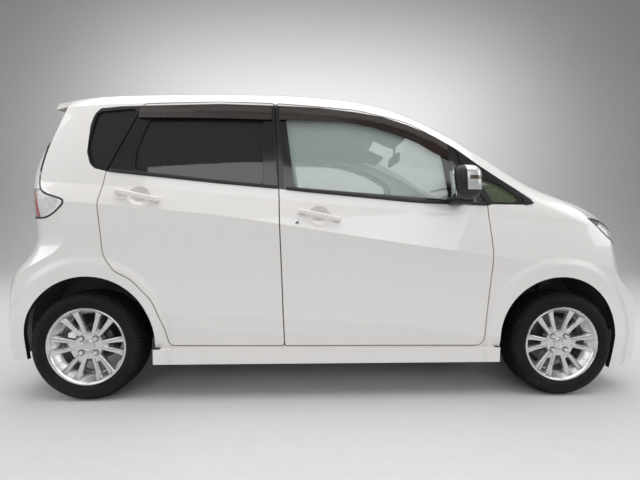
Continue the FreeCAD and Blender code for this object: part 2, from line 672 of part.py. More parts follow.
def closed_sketch(body, name, role, points, start="0"):
    """Sketch of one closed outline."""
    sketch = plane_sketch(body, name, role, start)
    corners = [Vector(a, b, 0) for a, b in points]
    for start, end in zip(corners, corners[1:] + corners[:1]):
        sketch.addGeometry(Part.LineSegment(start, end))
    return sketch


def revolved(body, name, points):
    """Ring turned about the body's Z axis from (radius, height) points."""
    sketch = closed_sketch(body, name + "_profile", "XZ_Plane", points)
    ring = body.newObject("PartDesign::Revolution", name)
    ring.Profile = sketch
    ring.ReferenceAxis = (sketch, ["V_Axis"])
    ring.Angle = 360
    return ring


def pocket_ring(body, name, points, count, start, depth):
    """Pockets from the outer side, repeated round the wheel."""
    sketch = closed_sketch(body, name + "_outline", "XY_Plane", points, start)
    pocket = body.newObject("PartDesign::Pocket", name)
    pocket.Profile = sketch
    pocket.setExpression("Length", depth)
    pattern = body.newObject("PartDesign::PolarPattern", name + "_ring")
    pattern.Originals = [pocket]
    pattern.Axis = (origin_item(body, "Z_Axis"), [""])
    pattern.Angle = 360
    pattern.Occurrences = count
    body.Tip = pattern
    return pattern


def lug_holes(body, name, start):
    """Four round through holes on the bolt circle."""
    sketch = plane_sketch(body, name + "_outline", "XY_Plane", start)
    offset = size("lug_circle") / 2 * math.sqrt(0.5)
    for a in (-offset, offset):
        for b in (-offset, offset):
            sketch.addGeometry(Part.Circle(Vector(a, b, 0), Vector(0, 0, 1), size("lug_hole_radius")))
    pocket = body.newObject("PartDesign::Pocket", name)
    pocket.Profile = sketch
    pocket.setExpression("Length", "2 * " + start)
    body.Tip = pocket


def place_wheel(body, axle_sign, side):
    """Turn the wheel's outer face to its own side of the car."""
    track = "Sizes.front_track" if axle_sign > 0 else "Sizes.rear_track"
    place = (along_cells(axle_sign * DRAWN_AXLE), "%d * %s / 2" % (side, track), "Sizes.tyre_radius")
    put(body, place, -90 * side)


def tyre(name, axle_sign, side):
    body = doc.addObject("PartDesign::Body", name)
    outer = size("tyre_radius")
    bead = size("bead_radius") + 0.3
    half = size("tyre_width") / 2
    wall = size("tyre_wall")
    tread = outer - size("tread_depth")
    lip = size("rim_radius")
    seat = size("rim_width") / 2 - 14.7
    half_profile = [
        (bead, seat - 12), (bead, seat), (lip + 0.4, seat + 7), (lip + 3, seat + 12), (lip + 20, half - 2),
        (lip + 36, half),
        (outer - 24, half - 5), (outer - 8, half - 14), (outer - 2, half - 26), (outer, half - 42),
    ]
    inner_half = [
        (tread, half - 40), (tread - 10, half - wall - 12), (lip + 30, half - wall), (lip, seat - 4),
    ]
    points = half_profile + [(r, -z) for r, z in reversed(half_profile)]
    points += [(r, -z) for r, z in reversed(inner_half)] + inner_half
    revolved(body, name + "_ring", points)
    place_wheel(body, axle_sign, side)
    keep(body)


def alloy_wheel(name, axle_sign, side):
    body = doc.addObject("PartDesign::Body", name)
    lip = size("rim_radius")
    seat = size("bead_radius")
    half = size("rim_width") / 2
    well = seat - 14
    profile = [
        (0, 50), (26, 52), (34, 46), (68, 47), (110, 50), (164, 55), (178, half - 6), (lip - 5, half),
        (lip, half - 2), (lip, half - 7), (seat, half - 14), (seat, 32), (well, 22), (well, -14), (seat, -34),
        (seat, 14 - half), (lip, 7 - half), (lip, 2 - half), (lip - 5, -half), (seat - 7, 16 - half),
        (seat - 7, -36), (well - 6, -16), (well - 6, 20), (seat - 8, 34), (160, 36), (84, 32), (76, 26),
        (72, 2), (0, 2),
    ]
    revolved(body, name + "_rim", profile)
    window = [(74, -7), (90, -14), (160, -40), (164, -20), (166, 0), (164, 20), (160, 40), (90, 14), (74, 7)]
    turned = Rotation(Vector(0, 0, 1), 30)
    window = [turned.multVec(Vector(a, b, 0)) for a, b in window]
    face = "Sizes.rim_width / 2"
    pocket_ring(body, name + "_window", [(point.x, point.y) for point in window], 6, face, face + " - 30")
    slot = [(90, -3), (150, -10), (162, -11), (164, 0), (162, 11), (150, 10), (90, 3)]
    pocket_ring(body, name + "_slot", slot, 6, face, face + " - 30")
    corner = []
    for step in range(12):
        spoke = Rotation(Vector(0, 0, 1), 30 * step).multVec(Vector(12, 0, 0))
        corner.append(Rotation(Vector(0, 0, 1), 45).multVec(spoke + Vector(50, 0, 0)))
    pocket_ring(body, name + "_lug", [(point.x, point.y) for point in corner], 4, face, face + " - 34")
    lug_holes(body, name + "_bolt", face)
    place_wheel(body, axle_sign, side)
    keep(body)


# Chassis

# Middle of the exhaust pipe across the car and above the ground.
EXHAUST_Y = -160
EXHAUST_Z = 160


def tube(radius, start, end):
    run = end - start
    return Part.makeCylinder(radius, run.Length, start, run)


def outline_block(corners, near, far):
    """Solid between two planes across the car from an outline in side view."""
    return prism(rounded_wire(corners), near, far)


def front_corner():
    """Steered knuckle with its caliper and strut, on the right side."""
    middle = axle(1)
    track = size("front_track") / 2
    pin = -(track - size("kingpin_offset"))
    strut = tube(22, Vector(middle.x, pin, upward(150)), Vector(middle.x, pin, 570))
    carrier = block(middle.x - 32, middle.x + 32, -(track - 50), pin - 12, middle.z - 80, middle.z + 70)
    bearing = tube(30, Vector(middle.x, -(track - 52), middle.z), Vector(middle.x, -(track - 35.3), middle.z))
    spring_seat = tube(50, Vector(middle.x, pin, 568), Vector(middle.x, pin, 580))
    disc_inner = -(track - 35)
    caliper = []
    for front_end, inner, outer in ((25, 5, 17), (70, -29, -17), (134, -29, 17)):
        edges = (disc_inner + inner, disc_inner + outer)
        caliper.append(block(middle.x - 148, middle.x - front_end, *edges, middle.z - 45, middle.z + 45))
    knuckle = strut.fuse([carrier, bearing, spring_seat] + caliper).removeSplitter()
    add("front_knuckle_right", solids(knuckle))
    add("front_knuckle_left", mirrored(solids(knuckle)))


def brake(name, axle_sign, side, inset, rings):
    """Disc or drum with its raised middle, on one side of an axle."""
    track = "Sizes.front_track" if axle_sign > 0 else "Sizes.rear_track"
    inner_face = "%d * (%s / 2 - %s)" % (side, track, inset)
    place = (along_cells(axle_sign * DRAWN_AXLE), inner_face, "Sizes.tyre_radius")
    cylinders = []
    for number, (radius, depth) in enumerate(rings):
        ring = "%s_ring_%d" % (name, number)
        cylinders.append(bound("Part::Cylinder", ring, place, -90 * side, Radius=radius, Height=depth))
    whole = doc.addObject("Part::MultiFuse", name)
    whole.Shapes = cylinders
    whole.Refine = True
    keep(whole)


def springs_and_shafts():
    """Strut springs on the steering axes, and the shafts from the gearbox to the hubs."""
    axle_place = along_cells(DRAWN_AXLE)
    pin = "(Sizes.front_track / 2 - Sizes.kingpin_offset)"
    gearbox = "(Sizes.engine_width / 2 + 0.3)"
    springs = []
    shafts = []
    for word, side in (("right", -1), ("left", 1)):
        place = (axle_place, "%d * %s" % (side, pin), "Sizes.spring_height")
        spring = doc.addObject("Part::Cut", "spring_" + word)
        spring.Base = bound(
            "Part::Cylinder", "coil_" + word, place, Radius="Sizes.spring_radius", Height="Sizes.spring_length")
        spring.Tool = bound(
            "Part::Cylinder", "bore_" + word, place, Radius="Sizes.spring_bore", Height="Sizes.spring_length")
        springs.append(spring)
        place = (axle_place, "%d * %s" % (side, gearbox), "Sizes.tyre_radius")
        reach = "%s - Sizes.shaft_clearance - %s" % (pin, gearbox)
        shafts.append(bound(
            "Part::Cylinder", "shaft_" + word, place, -90 * side, Radius="Sizes.shaft_radius", Height=reach))
    for name, pieces in (("strut_springs", springs), ("drive_shafts", shafts)):
        both = doc.addObject("Part::Compound", name)
        both.Links = pieces
        keep(both)


def front_suspension():
    middle = axle(1)
    pin = size("front_track") / 2 - size("kingpin_offset")
    arm = block(middle.x - 30, middle.x + 30, 250, pin + 24, 122, upward(150) - 0.5)
    arm = arm.fuse(block(middle.x - 130, middle.x + 30, 250, 300, 122, upward(150) - 0.5))
    frame = block(middle.x - 130, middle.x - 60.3, -324, 324, upward(148), upward(205))
    leg = block(middle.x - 130, middle.x - 60.3, 325.3, 360, upward(148), 329.7)
    foot = block(middle.x - 130, middle.x - 60.3, 290, 360, upward(148), upward(180))
    frame = frame.fuse([arm, mirrored(arm), leg, mirrored(leg), foot, mirrored(foot)])
    tunnel = Vector(middle.x, EXHAUST_Y, EXHAUST_Z)
    frame = frame.cut(tube(26, tunnel - Vector(200, 0, 0), tunnel))
    add("front_suspension", solids(frame.removeSplitter()))


def rear_axle():
    middle = axle(-1)
    track = size("rear_track") / 2
    beam = block(middle.x + 205, middle.x + 265, -490, 490, 250, 300)
    arm = block(middle.x - 35, middle.x + 340, 478, 520, 250, 300)
    spindle = tube(25, Vector(middle.x, 490, middle.z), Vector(middle.x, track - 60.3, middle.z))
    plate = Part.makeCylinder(104, 8, Vector(middle.x, track - 74, middle.z), Vector(0, 1, 0))
    half = arm.fuse([spindle, plate])
    add("rear_axle", solids(beam.fuse([half, mirrored(half)]).removeSplitter()))


def half_housing(centre, inner_y, outer_y, radius, skin, cut_height):
    """Wheel housing: the upper part of a drum closed on its inner side."""
    length = outer_y - inner_y
    along_y = Vector(0, 1, 0)
    drum = Part.makeCylinder(radius + skin, length, Vector(centre.x, inner_y, centre.z), along_y)
    hollow = Part.makeCylinder(radius, length, Vector(centre.x, inner_y + skin, centre.z), along_y)
    return drum.cut(hollow).cut(block(centre.x - 900, centre.x + 900, 0, 900, -500, cut_height))


def floor_pan():
    inner = size("body_width") / 2
    low, skin = upward(206), 28
    inside = hull(size("wall_depth") + 0.3, size("pillar_depth") + 0.3, 0, -5, size("wall_depth") + 0.3)
    floor = block(along(-450), along(850), -inner, inner, low, low + skin)
    step = block(along(-450) - skin, along(-450), -inner, inner, low, upward(352))
    seat = block(along(-840), along(-450), -inner, inner, upward(352) - skin, upward(352))
    riser = block(along(-840) - skin, along(-840), -472, 472, upward(352) - skin, upward(430))
    boot = block(along(-1530), along(-840), -472, 472, upward(430) - skin, upward(430))
    firewall = block(along(850), along(850) + skin, -inner, inner, low, upward(960))
    rear_centre = axle(-1) + Vector(size("arch_shift"), 0, size("arch_rise"))
    rear_house = half_housing(rear_centre, 472, inner, 345, 8, rear_centre.z)
    bush = block(axle(-1).x + 340.3, axle(-1).x + 376, 470, 528, 245, upward(352))
    rail = block(along(850), along(1560), 325, 390, 330, 430)
    mount = block(axle(1).x + 60, axle(1).x + 120, 300.3, 330, 350, 410)
    front_centre = axle(1) + Vector(-size("arch_shift"), 0, size("arch_rise"))
    front_house = half_housing(front_centre, 392, 704, 362, 6, front_centre.z + 20)
    pieces = [step, seat, riser, boot, firewall]
    for piece in (rear_house, bush):
        pieces += [piece, mirrored(piece)]
    pan = floor.fuse(pieces).common(inside)
    pieces = []
    for piece in (rail, mount, front_house.common(even_hull(size("panel_depth") + 0.3))):
        pieces += [piece, mirrored(piece)]
    add("floor_pan", solids(pan.fuse(pieces).removeSplitter()))


def box(name, start, length, width, low, top):
    """Plain block across the middle plane, bound to the sheet."""
    place = (start, "-%s / 2" % width, height_cells(low))
    height = "%s - %s" % (top, height_cells(low))
    keep(bound("Part::Box", name, place, Length=length, Width=width, Height=height))


def engine_and_line():
    middle = axle(1)
    engine_start = along_cells(DRAWN_AXLE) + " - Sizes.engine_rear"
    box("engine_block", engine_start, "Sizes.engine_length", "Sizes.engine_width", 215, height_cells(700))
    box("radiator", along_cells(1560.3), "Sizes.radiator_depth", "Sizes.radiator_width", 230, height_cells(640))
    tank_top = height_cells(352) + " - 28.3"
    box("fuel_tank", along_cells(-830), "Sizes.tank_length", "Sizes.tank_width", 190, tank_top)
    pipe_y = EXHAUST_Y
    front_end = Vector(middle.x, pipe_y, EXHAUST_Z)
    rear_end = Vector(along(-1330), pipe_y, EXHAUST_Z)
    pipe = tube(20, front_end, rear_end)
    down = tube(20, front_end, Vector(middle.x, pipe_y, upward(215) - 0.3))
    bend = Part.makeSphere(20, front_end)
    hangers = []
    for y in (pipe_y - 90, pipe_y + 90):
        hangers.append(block(along(-1540), along(-1510), y - 8, y + 8, 330, upward(430) - 28.3))
    rise = tube(20, rear_end, Vector(along(-1380), pipe_y, 240))
    elbow = Part.makeSphere(20, rear_end)
    muffler = block(along(-1580), along(-1370), pipe_y - 160, pipe_y + 160, 220, 340)
    muffler = muffler.makeFillet(30, muffler.Edges)
    add("exhaust", solids(pipe.fuse([down, bend, rise, elbow, muffler] + hangers).removeSplitter()))


# Cabin

FRONT_SEAT = (
    (330, 300), (352, 440, 50), (-90, 400, 40), (-235, 900, 60), (-300, 1080, 30), (-370, 1075, 30),
    (-330, 880, 100), (-260, 560, 100), (-235, 300, 20),
)
HEADREST = ((-300, 1100, 25), (-310, 1240, 30), (-390, 1240, 30), (-375, 1100, 25))
HEADREST_POSTS = ((-330, 1060), (-330, 1120), (-350, 1120), (-350, 1060))
REAR_SEAT = (
    (-475, 352.4), (-470, 480, 50), (-900, 450, 40), (-1030, 1010, 50), (-1110, 1005, 30), (-980, 440, 60),
    (-838, 435), (-838, 352.4),
)
DASH = (
    (849.6, 560), (760, 600, 40), (640, 800, 60), (600, 950, 60), (720, 1010, 60), (849.6, 958),
)


def cabin():
    side = size("seat_offset")
    half = size("seat_width") / 2
    seats = []
    for middle in (-side, side):
        edges = (middle - half + 60, middle + half - 60)
        base = block(along(-230), along(320), *edges, upward(206) + 28.3, upward(300))
        cushion = outline_block(FRONT_SEAT, middle - half, middle + half)
        posts = outline_block(HEADREST_POSTS, middle - 60, middle + 60)
        rest = outline_block(HEADREST, middle - 130, middle + 130)
        seats.append(solids(cushion.fuse([base, posts, rest]).removeSplitter()))
    add("front_seats", Part.makeCompound(seats))
    add("rear_bench", outline_block(REAR_SEAT, -470, 470))
    inside_trim = hull(size("wall_depth") + 0.3, size("pillar_depth") + 0.3, 0, -5, size("wall_depth"))
    add("dashboard", outline_block(DASH, -640, 640).common(inside_trim))
    hub = Vector(along(470), -side, upward(900))
    wheel_axis = Vector(math.cos(math.radians(25)), 0, -math.sin(math.radians(25)))
    ring = Part.makeTorus(size("steering_wheel_radius"), 15, hub, wheel_axis)
    boss = Part.makeCylinder(55, 40, hub - wheel_axis * 10, wheel_axis)
    column = Part.makeCylinder(20, 210, hub + wheel_axis * 20, wheel_axis)
    spokes = block(-14, 14, -size("steering_wheel_radius"), size("steering_wheel_radius"), -8, 8)
    spokes.Placement = Placement(hub, Rotation(Vector(0, 0, 1), wheel_axis))
    wheel = ring.fuse([boss, column, spokes])
    bore = Part.makeCylinder(20.4, 201, hub + wheel_axis * 30, wheel_axis)
    add("steering_wheel", solids(wheel))
    dash = NODES[-2]
    dash.Shape = solids(dash.Shape.cut(bore))
    glass_back = size("glass_inset") + size("glass_depth") + 0.3
    inside = outline_block(((480, 1330, 8), (510, 1330, 8), (515, 1395, 8), (490, 1395, 8)), -110, 110)
    stem = block(along(495), along(507), -8, 8, 1380, 1600).common(even_hull(glass_back))
    add("interior_mirror", solids(inside.fuse(stem).removeSplitter()))


def mirrors():
    """Door mirror: a rounded case outboard of the front corner of the glass."""
    shell = block(along(560), along(685), -across(905), -across(748), upward(1000), upward(1168))
    shell = shell.makeFillet(34, shell.Edges)
    foot = block(along(590), along(672), -across(800), -across(680), upward(968), upward(1010))
    mirror = shell.fuse(foot).cut(hull())
    mirror = solids(mirror)
    add("door_mirror_right", mirror)
    add("door_mirror_left", mirrored(mirror))


def wheels():
    for name, axle_sign, side in (
        ("front_right", 1, -1), ("front_left", 1, 1), ("rear_right", -1, -1), ("rear_left", -1, 1),
    ):
        tyre("tyre_" + name, axle_sign, side)
        alloy_wheel("alloy_wheel_" + name, axle_sign, side)
    disc = (("Sizes.disc_radius", "Sizes.disc_depth"), ("Sizes.bell_radius", "Sizes.bell_depth"))
    drum = (("Sizes.drum_radius", "Sizes.drum_depth"), ("Sizes.hub_radius", "Sizes.hub_depth"))
    for side, word in ((-1, "right"), (1, "left")):
        brake("brake_disc_" + word, 1, side, "Sizes.disc_inset", disc)
        brake("brake_drum_" + word, -1, side, "Sizes.drum_inset", drum)


body_panels()
wheels()
front_corner()
front_suspension()
springs_and_shafts()
rear_axle()
floor_pan()
engine_and_line()
cabin()
mirrors()

doc.recompute()
os.makedirs("parts", exist_ok=True)
for node in NODES:
    if "Invalid" in node.State or "Error" in node.State or node.Shape.isNull() or not node.Shape.isValid():
        raise RuntimeError(node.Label + " is not a valid shape")
for node in NODES:
    node.Shape.exportStep("parts/" + node.Label + ".step")
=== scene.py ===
import math

import bmesh
import bpy
import numpy as np
from bpy.props import FloatProperty, FloatVectorProperty, IntProperty, PointerProperty
from mathutils import Matrix, Vector
from mathutils.bvhtree import BVHTree


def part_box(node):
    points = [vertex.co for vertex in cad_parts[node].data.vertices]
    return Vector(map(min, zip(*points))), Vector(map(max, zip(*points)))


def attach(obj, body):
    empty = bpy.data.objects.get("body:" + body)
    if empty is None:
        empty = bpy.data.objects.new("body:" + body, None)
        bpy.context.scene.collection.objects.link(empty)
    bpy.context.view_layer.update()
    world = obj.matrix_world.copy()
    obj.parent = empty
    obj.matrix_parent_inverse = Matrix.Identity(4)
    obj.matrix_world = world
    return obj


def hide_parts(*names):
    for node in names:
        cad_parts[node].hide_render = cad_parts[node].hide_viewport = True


bl_info = {
    "name": "Small hatchback dressing",
    "version": (1, 0, 0),
    "blender": (4, 5, 0),
    "location": "View3D > Sidebar > Car",
    "description": "Dresses a small one-box hatchback with its trim, glass, wheels and seats",
    "category": "Object",
}

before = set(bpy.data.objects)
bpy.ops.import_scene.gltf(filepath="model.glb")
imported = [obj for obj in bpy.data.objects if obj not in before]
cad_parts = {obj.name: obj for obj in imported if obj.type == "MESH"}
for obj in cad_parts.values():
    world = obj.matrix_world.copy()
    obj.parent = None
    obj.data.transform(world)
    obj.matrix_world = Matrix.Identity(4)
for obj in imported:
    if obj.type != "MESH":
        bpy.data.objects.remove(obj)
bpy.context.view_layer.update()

# Places along the car are drawn in millimetres from the middle of the wheelbase.
WHEELBASE_MIDDLE = -27.5
SIDES = (("right", -1), ("left", 1))
WHEELS = (("front_right", -1), ("front_left", 1), ("rear_right", -1), ("rear_left", 1))

# Black band round the side windows: place along the car and height of its lower and upper edge.
BAND_BOTTOM = (
    (-1215, 1240), (-1195, 1180), (-1170, 1158), (-1104, 1142), (-556, 1090), (-265, 1067),
    (-167, 1056), (455, 1003), (645, 998), (798, 994), (1000, 988), (1046, 1000), (1060, 1019),
)
BAND_TOP = (
    (-1215, 1380), (-1203, 1440), (-1175, 1474), (-1073, 1486), (-947, 1492), (-573, 1508), (-302, 1505),
    (-67, 1499), (134, 1478), (268, 1458), (405, 1417), (542, 1360), (668, 1288), (765, 1215), (882, 1137),
    (962, 1087), (1060, 1020),
)
BAND_REAR_END = -1215
BAND_FRONT_END = 1058
# Lower edge of the window visors.
VISOR_BOTTOM = (
    (-985, 1423), (-566, 1427), (-298, 1424), (-230, 1426), (64, 1422), (196, 1402), (330, 1365), (444, 1322),
    (594, 1232),
)
# Fold low on the doors, above which the side is drawn in.
LOWER_CREASE = ((-760, 463), (-725, 453), (-640, 418), (-550, 388), (352, 362), (766, 320), (810, 316))
# Wheel arches: place along the car in metres, height and radius.
ARCH_PLACES = (1.1695, -1.2245)
ARCH_HEIGHT = 0.306
ARCH_RADIUS = 0.322
# Shut line of the tailgate on the car's side, down to the tail lamp and round its front.
REAR_SHUT_LINE = (
    (-1345, 1545), (-1349, 1515), (-1352, 1472), (-1367, 1414), (-1389, 1346), (-1410, 1271), (-1425, 1196),
    (-1433, 1119), (-1434, 1068), (-1424, 1048), (-1398, 1031), (-1331, 1012), (-1302, 1002), (-1296, 989),
    (-1306, 970), (-1349, 936), (-1392, 916), (-1428, 911), (-1489, 914),
)
# Headlamp on the car's side: its lower edge and its upper edge.
HEADLAMP_EDGE = ((1352, 936), (1409, 885), (1457, 838), (1493, 811), (1528, 797), (1560, 792))
HEADLAMP_TOP = ((1358, 930), (1425, 922), (1490, 898), (1525, 868))
# From here on the sizes are in metres. Blank plates: middle heights, dark border and thickness.
FRONT_PLATE_HEIGHT = 0.47
REAR_PLATE_HEIGHT = 0.865
PLATE_BORDER = 0.014
PLATE_THICKNESS = 0.0016
# Heights of the middle of the fog lamps and the rear reflectors.
FOG_LAMP_HEIGHT = 0.315
REFLECTOR_HEIGHT = 0.46
# How far the fog lamps and the rear reflectors stand from the car's middle plane.
LAMP_OFFSET = 0.5
# Half the width of the tailgate's glass, and the heights of its lower and upper edge.
REAR_GLASS_HALF = 0.559
REAR_GLASS_HEIGHTS = (1.132, 1.479)
# Wheels: radius of the circle of nuts, their number, the first one's turn and the pairs of spokes.
NUT_CIRCLE = 0.05
NUT_COUNT = 4
NUT_TURN = 45
SPOKE_PAIRS = 6
# Half the width of a tyre.
TYRE_HALF_WIDTH = 0.0785
# Middle of a door mirror's shell on the right side.
MIRROR_MIDDLE = Vector((0.598, -0.826, 1.09))
# How far the front seats and the rear headrests stand from the car's middle plane.
FRONT_SEAT_OFFSET = 0.33
REAR_HEADREST_OFFSET = 0.24


def place(x, z):
    """Side view place in metres of a drawn point."""
    return (x + WHEELBASE_MIDDLE) / 1000, z / 1000


def colours():
    return bpy.context.scene.car_colours


def height_on(line, x):
    """Height in metres of a drawn line at a place along the car in metres."""
    drawn = x * 1000 - WHEELBASE_MIDDLE
    return float(np.interp(drawn, [point[0] for point in line], [point[1] for point in line])) / 1000


def points_on(line, start, end, count, rise=0):
    """Points of a drawn line between two places along the car, raised by some millimetres."""
    xs = np.linspace(start, end, count)
    return [(x, height_on(line, place(x, 0)[0]) * 1000 + rise) for x in xs]


# Materials

# How solid the clear and the dark glass look.
CLEAR_ALPHA = 0.26
DARK_ALPHA = 0.78


class Nodes:
    """A material or group being wired, with short calls for its nodes."""

    def __init__(self, tree):
        self.tree = tree

    def add(self, kind, **settings):
        node = self.tree.nodes.new(kind)
        for key, value in settings.items():
            setattr(node, key, value)
        return node

    def link(self, output, target):
        self.tree.links.new(output, target)

    def put(self, target, value):
        """Wire a node's output into a socket, or set the socket to a plain value."""
        if isinstance(value, bpy.types.NodeSocket):
            self.link(value, target)
        else:
            target.default_value = value

    def math(self, operation, first, second=0.0, clamp=False):
        node = self.add("ShaderNodeMath", operation=operation, use_clamp=clamp)
        self.put(node.inputs[0], first)
        self.put(node.inputs[1], second)
        return node.outputs[0]

    def product(self, first, *others):
        for other in others:
            first = self.math("MULTIPLY", first, other)
        return first

    def cells(self, where, scale):
        """Distance to the nearest of many scattered points."""
        node = self.add("ShaderNodeTexVoronoi")
        self.link(where, node.inputs["Vector"])
        self.put(node.inputs["Scale"], scale)
        return node.outputs["Distance"]

    def bump(self, height, strength, distance):
        node = self.add("ShaderNodeBump")
        self.link(height, node.inputs["Height"])
        self.put(node.inputs["Strength"], strength)
        node.inputs["Distance"].default_value = distance
        return node

    def noise(self, where, scale, detail=3.0, roughness=0.5):
        node = self.add("ShaderNodeTexNoise")
        self.link(where, node.inputs["Vector"])
        node.inputs["Scale"].default_value = scale
        node.inputs["Detail"].default_value = detail
        node.inputs["Roughness"].default_value = roughness
        return node.outputs["Fac"]

    def spread(self, value, low, high, out_low=0.0, out_high=1.0, kind="LINEAR"):
        node = self.add("ShaderNodeMapRange", interpolation_type=kind)
        self.put(node.inputs["Value"], value)
        node.inputs["From Min"].default_value = low
        node.inputs["From Max"].default_value = high
        node.inputs["To Min"].default_value = out_low
        node.inputs["To Max"].default_value = out_high
        return node.outputs["Result"]

    def mix(self, share, first, second):
        node = self.add("ShaderNodeMix", data_type="RGBA")
        self.put(node.inputs[0], share)
        self.put(node.inputs[6], first)
        self.put(node.inputs[7], second)
        return node.outputs[2]


def tone(colour, factor=1.0):
    return (colour[0] * factor, colour[1] * factor, colour[2] * factor, 1.0)


def group(name, inputs, outputs):
    """Empty shader node group with the named sockets, and its two ends."""
    tree = bpy.data.node_groups.new(name, "ShaderNodeTree")
    for label, kind, value in inputs:
        socket = tree.interface.new_socket(name=label, in_out="INPUT", socket_type=kind)
        socket.default_value = value
    for label, kind in outputs:
        tree.interface.new_socket(name=label, in_out="OUTPUT", socket_type=kind)
    nodes = Nodes(tree)
    return nodes, nodes.add("NodeGroupInput"), nodes.add("NodeGroupOutput")


def effect(name):
    return bpy.data.node_groups.get(name)


def grain_effect():
    """Fine moulded grain with its bump and a small change of tone."""
    if effect("moulded_grain"):
        return effect("moulded_grain")
    nodes, start, end = group(
        "moulded_grain",
        [("Scale", "NodeSocketFloat", 900.0), ("Depth", "NodeSocketFloat", 0.1)],
        [("Tone", "NodeSocketFloat"), ("Normal", "NodeSocketVector")])
    where = nodes.add("ShaderNodeTexCoord").outputs["Object"]
    broad = nodes.noise(where, 14.0, 4.0)
    height = nodes.math("ADD", nodes.cells(where, start.outputs["Scale"]), broad)
    bump = nodes.bump(height, start.outputs["Depth"], 0.0004)
    nodes.link(nodes.spread(broad, 0.3, 0.7), end.inputs["Tone"])
    nodes.link(bump.outputs["Normal"], end.inputs["Normal"])
    return nodes.tree


def dust_effect():
    """Road dust that thins out upwards from the ground."""
    if effect("road_dust"):
        return effect("road_dust")
    nodes, start, end = group(
        "road_dust",
        [("Top", "NodeSocketFloat", 0.45), ("Amount", "NodeSocketFloat", 0.3)],
        [("Mask", "NodeSocketFloat")])
    where = nodes.add("ShaderNodeTexCoord").outputs["Object"]
    split = nodes.add("ShaderNodeSeparateXYZ")
    nodes.link(where, split.inputs[0])
    share = nodes.math("DIVIDE", split.outputs["Z"], start.outputs["Top"])
    low = nodes.math("SUBTRACT", 1.0, share, clamp=True)
    patches = nodes.spread(nodes.noise(where, 9.0, 8.0, 0.65), 0.35, 0.7)
    mask = nodes.math("MULTIPLY", nodes.product(low, patches), start.outputs["Amount"], clamp=True)
    nodes.link(mask, end.inputs["Mask"])
    return nodes.tree


def weave_effect():
    """Plain weave of a seat cloth."""
    nodes, start, end = group(
        "seat_weave",
        [("Scale", "NodeSocketFloat", 220.0)],
        [("Tone", "NodeSocketFloat"), ("Normal", "NodeSocketVector")])
    where = nodes.add("ShaderNodeTexCoord").outputs["Object"]
    threads = []
    for direction in ("X", "Y"):
        wave = nodes.add("ShaderNodeTexWave", bands_direction=direction)
        nodes.link(where, wave.inputs["Vector"])
        nodes.link(start.outputs["Scale"], wave.inputs["Scale"])
        wave.inputs["Distortion"].default_value = 0.6
        threads.append(wave.outputs["Fac"])
    height = nodes.math("MAXIMUM", threads[0], threads[1])
    bump = nodes.bump(height, 0.35, 0.0006)
    fluff = nodes.noise(where, 35.0, 6.0)
    nodes.link(nodes.math("MULTIPLY", height, fluff), end.inputs["Tone"])
    nodes.link(bump.outputs["Normal"], end.inputs["Normal"])
    return nodes.tree


def place_effect(nodes, tree, **values):
    node = nodes.add("ShaderNodeGroup", node_tree=tree)
    for key, value in values.items():
        node.inputs[key.replace("_", " ")].default_value = value
    return node


def material(name, wire):
    """Material of that name, wired once by the given function."""
    found = bpy.data.materials.get(name)
    if found:
        return found
    made = bpy.data.materials.new(name)
    made.use_nodes = True
    made.node_tree.nodes.clear()
    nodes = Nodes(made.node_tree)
    output = nodes.add("ShaderNodeOutputMaterial")
    shader = nodes.add("ShaderNodeBsdfPrincipled")
    nodes.link(shader.outputs["BSDF"], output.inputs["Surface"])
    wire(nodes, shader)
    return made


def object_place(nodes):
    where = nodes.add("ShaderNodeTexCoord")
    split = nodes.add("ShaderNodeSeparateXYZ")
    nodes.link(where.outputs["Object"], split.inputs[0])
    return where, split


def drawn_height(nodes, along, line):
    """Height in metres of a drawn line above each place along the car."""
    ramp = nodes.add("ShaderNodeValToRGB")
    low, high = line[0][0], line[-1][0]
    share = nodes.spread(along, place(low, 0)[0], place(high, 0)[0])
    nodes.link(share, ramp.inputs[0])
    elements = ramp.color_ramp.elements
    for _ in range(len(line) - 2):
        elements.new(0.5)
    for element, (x, z) in zip(elements, line):
        element.position = (x - low) / (high - low)
        element.color = (z / 2000, z / 2000, z / 2000, 1)
    return nodes.math("MULTIPLY", ramp.outputs[0], 2.0)


def arch_distance(nodes, split):
    """Distance to the nearer wheel arch's centre, or to its middle plane below that height."""
    rise = nodes.math("MAXIMUM", nodes.math("SUBTRACT", split.outputs["Z"], ARCH_HEIGHT), 0.0)
    squared = nodes.math("MULTIPLY", rise, rise)
    spans = []
    for x in ARCH_PLACES:
        run = nodes.math("SUBTRACT", split.outputs["X"], x)
        both = nodes.math("ADD", nodes.math("MULTIPLY", run, run), squared)
        spans.append(nodes.math("SQRT", both))
    return nodes.math("MINIMUM", spans[0], spans[1])


def window_band(nodes, split):
    """Mask of the black band round the side windows."""
    along, height = split.outputs["X"], split.outputs["Z"]
    above = nodes.math("GREATER_THAN", height, drawn_height(nodes, along, BAND_BOTTOM))
    below = nodes.math("LESS_THAN", height, drawn_height(nodes, along, BAND_TOP))
    behind = nodes.math("GREATER_THAN", along, place(BAND_REAR_END, 0)[0])
    ahead = nodes.math("LESS_THAN", along, place(BAND_FRONT_END, 0)[0])
    return nodes.product(above, below, behind, ahead)


def cabin_side(nodes, split, outward, upward):
    """Mask of the faces that look into the cabin: inner walls and, over the belt, what faces down."""
    inward = nodes.math("LESS_THAN", outward, -0.35)
    down = nodes.math("LESS_THAN", upward, -0.35)
    high = nodes.math("GREATER_THAN", split.outputs["Z"], 1.0)
    within = nodes.math("LESS_THAN", nodes.math("ABSOLUTE", split.outputs["Y"]), 0.54)
    return nodes.math("MAXIMUM", inward, nodes.product(down, high, within))


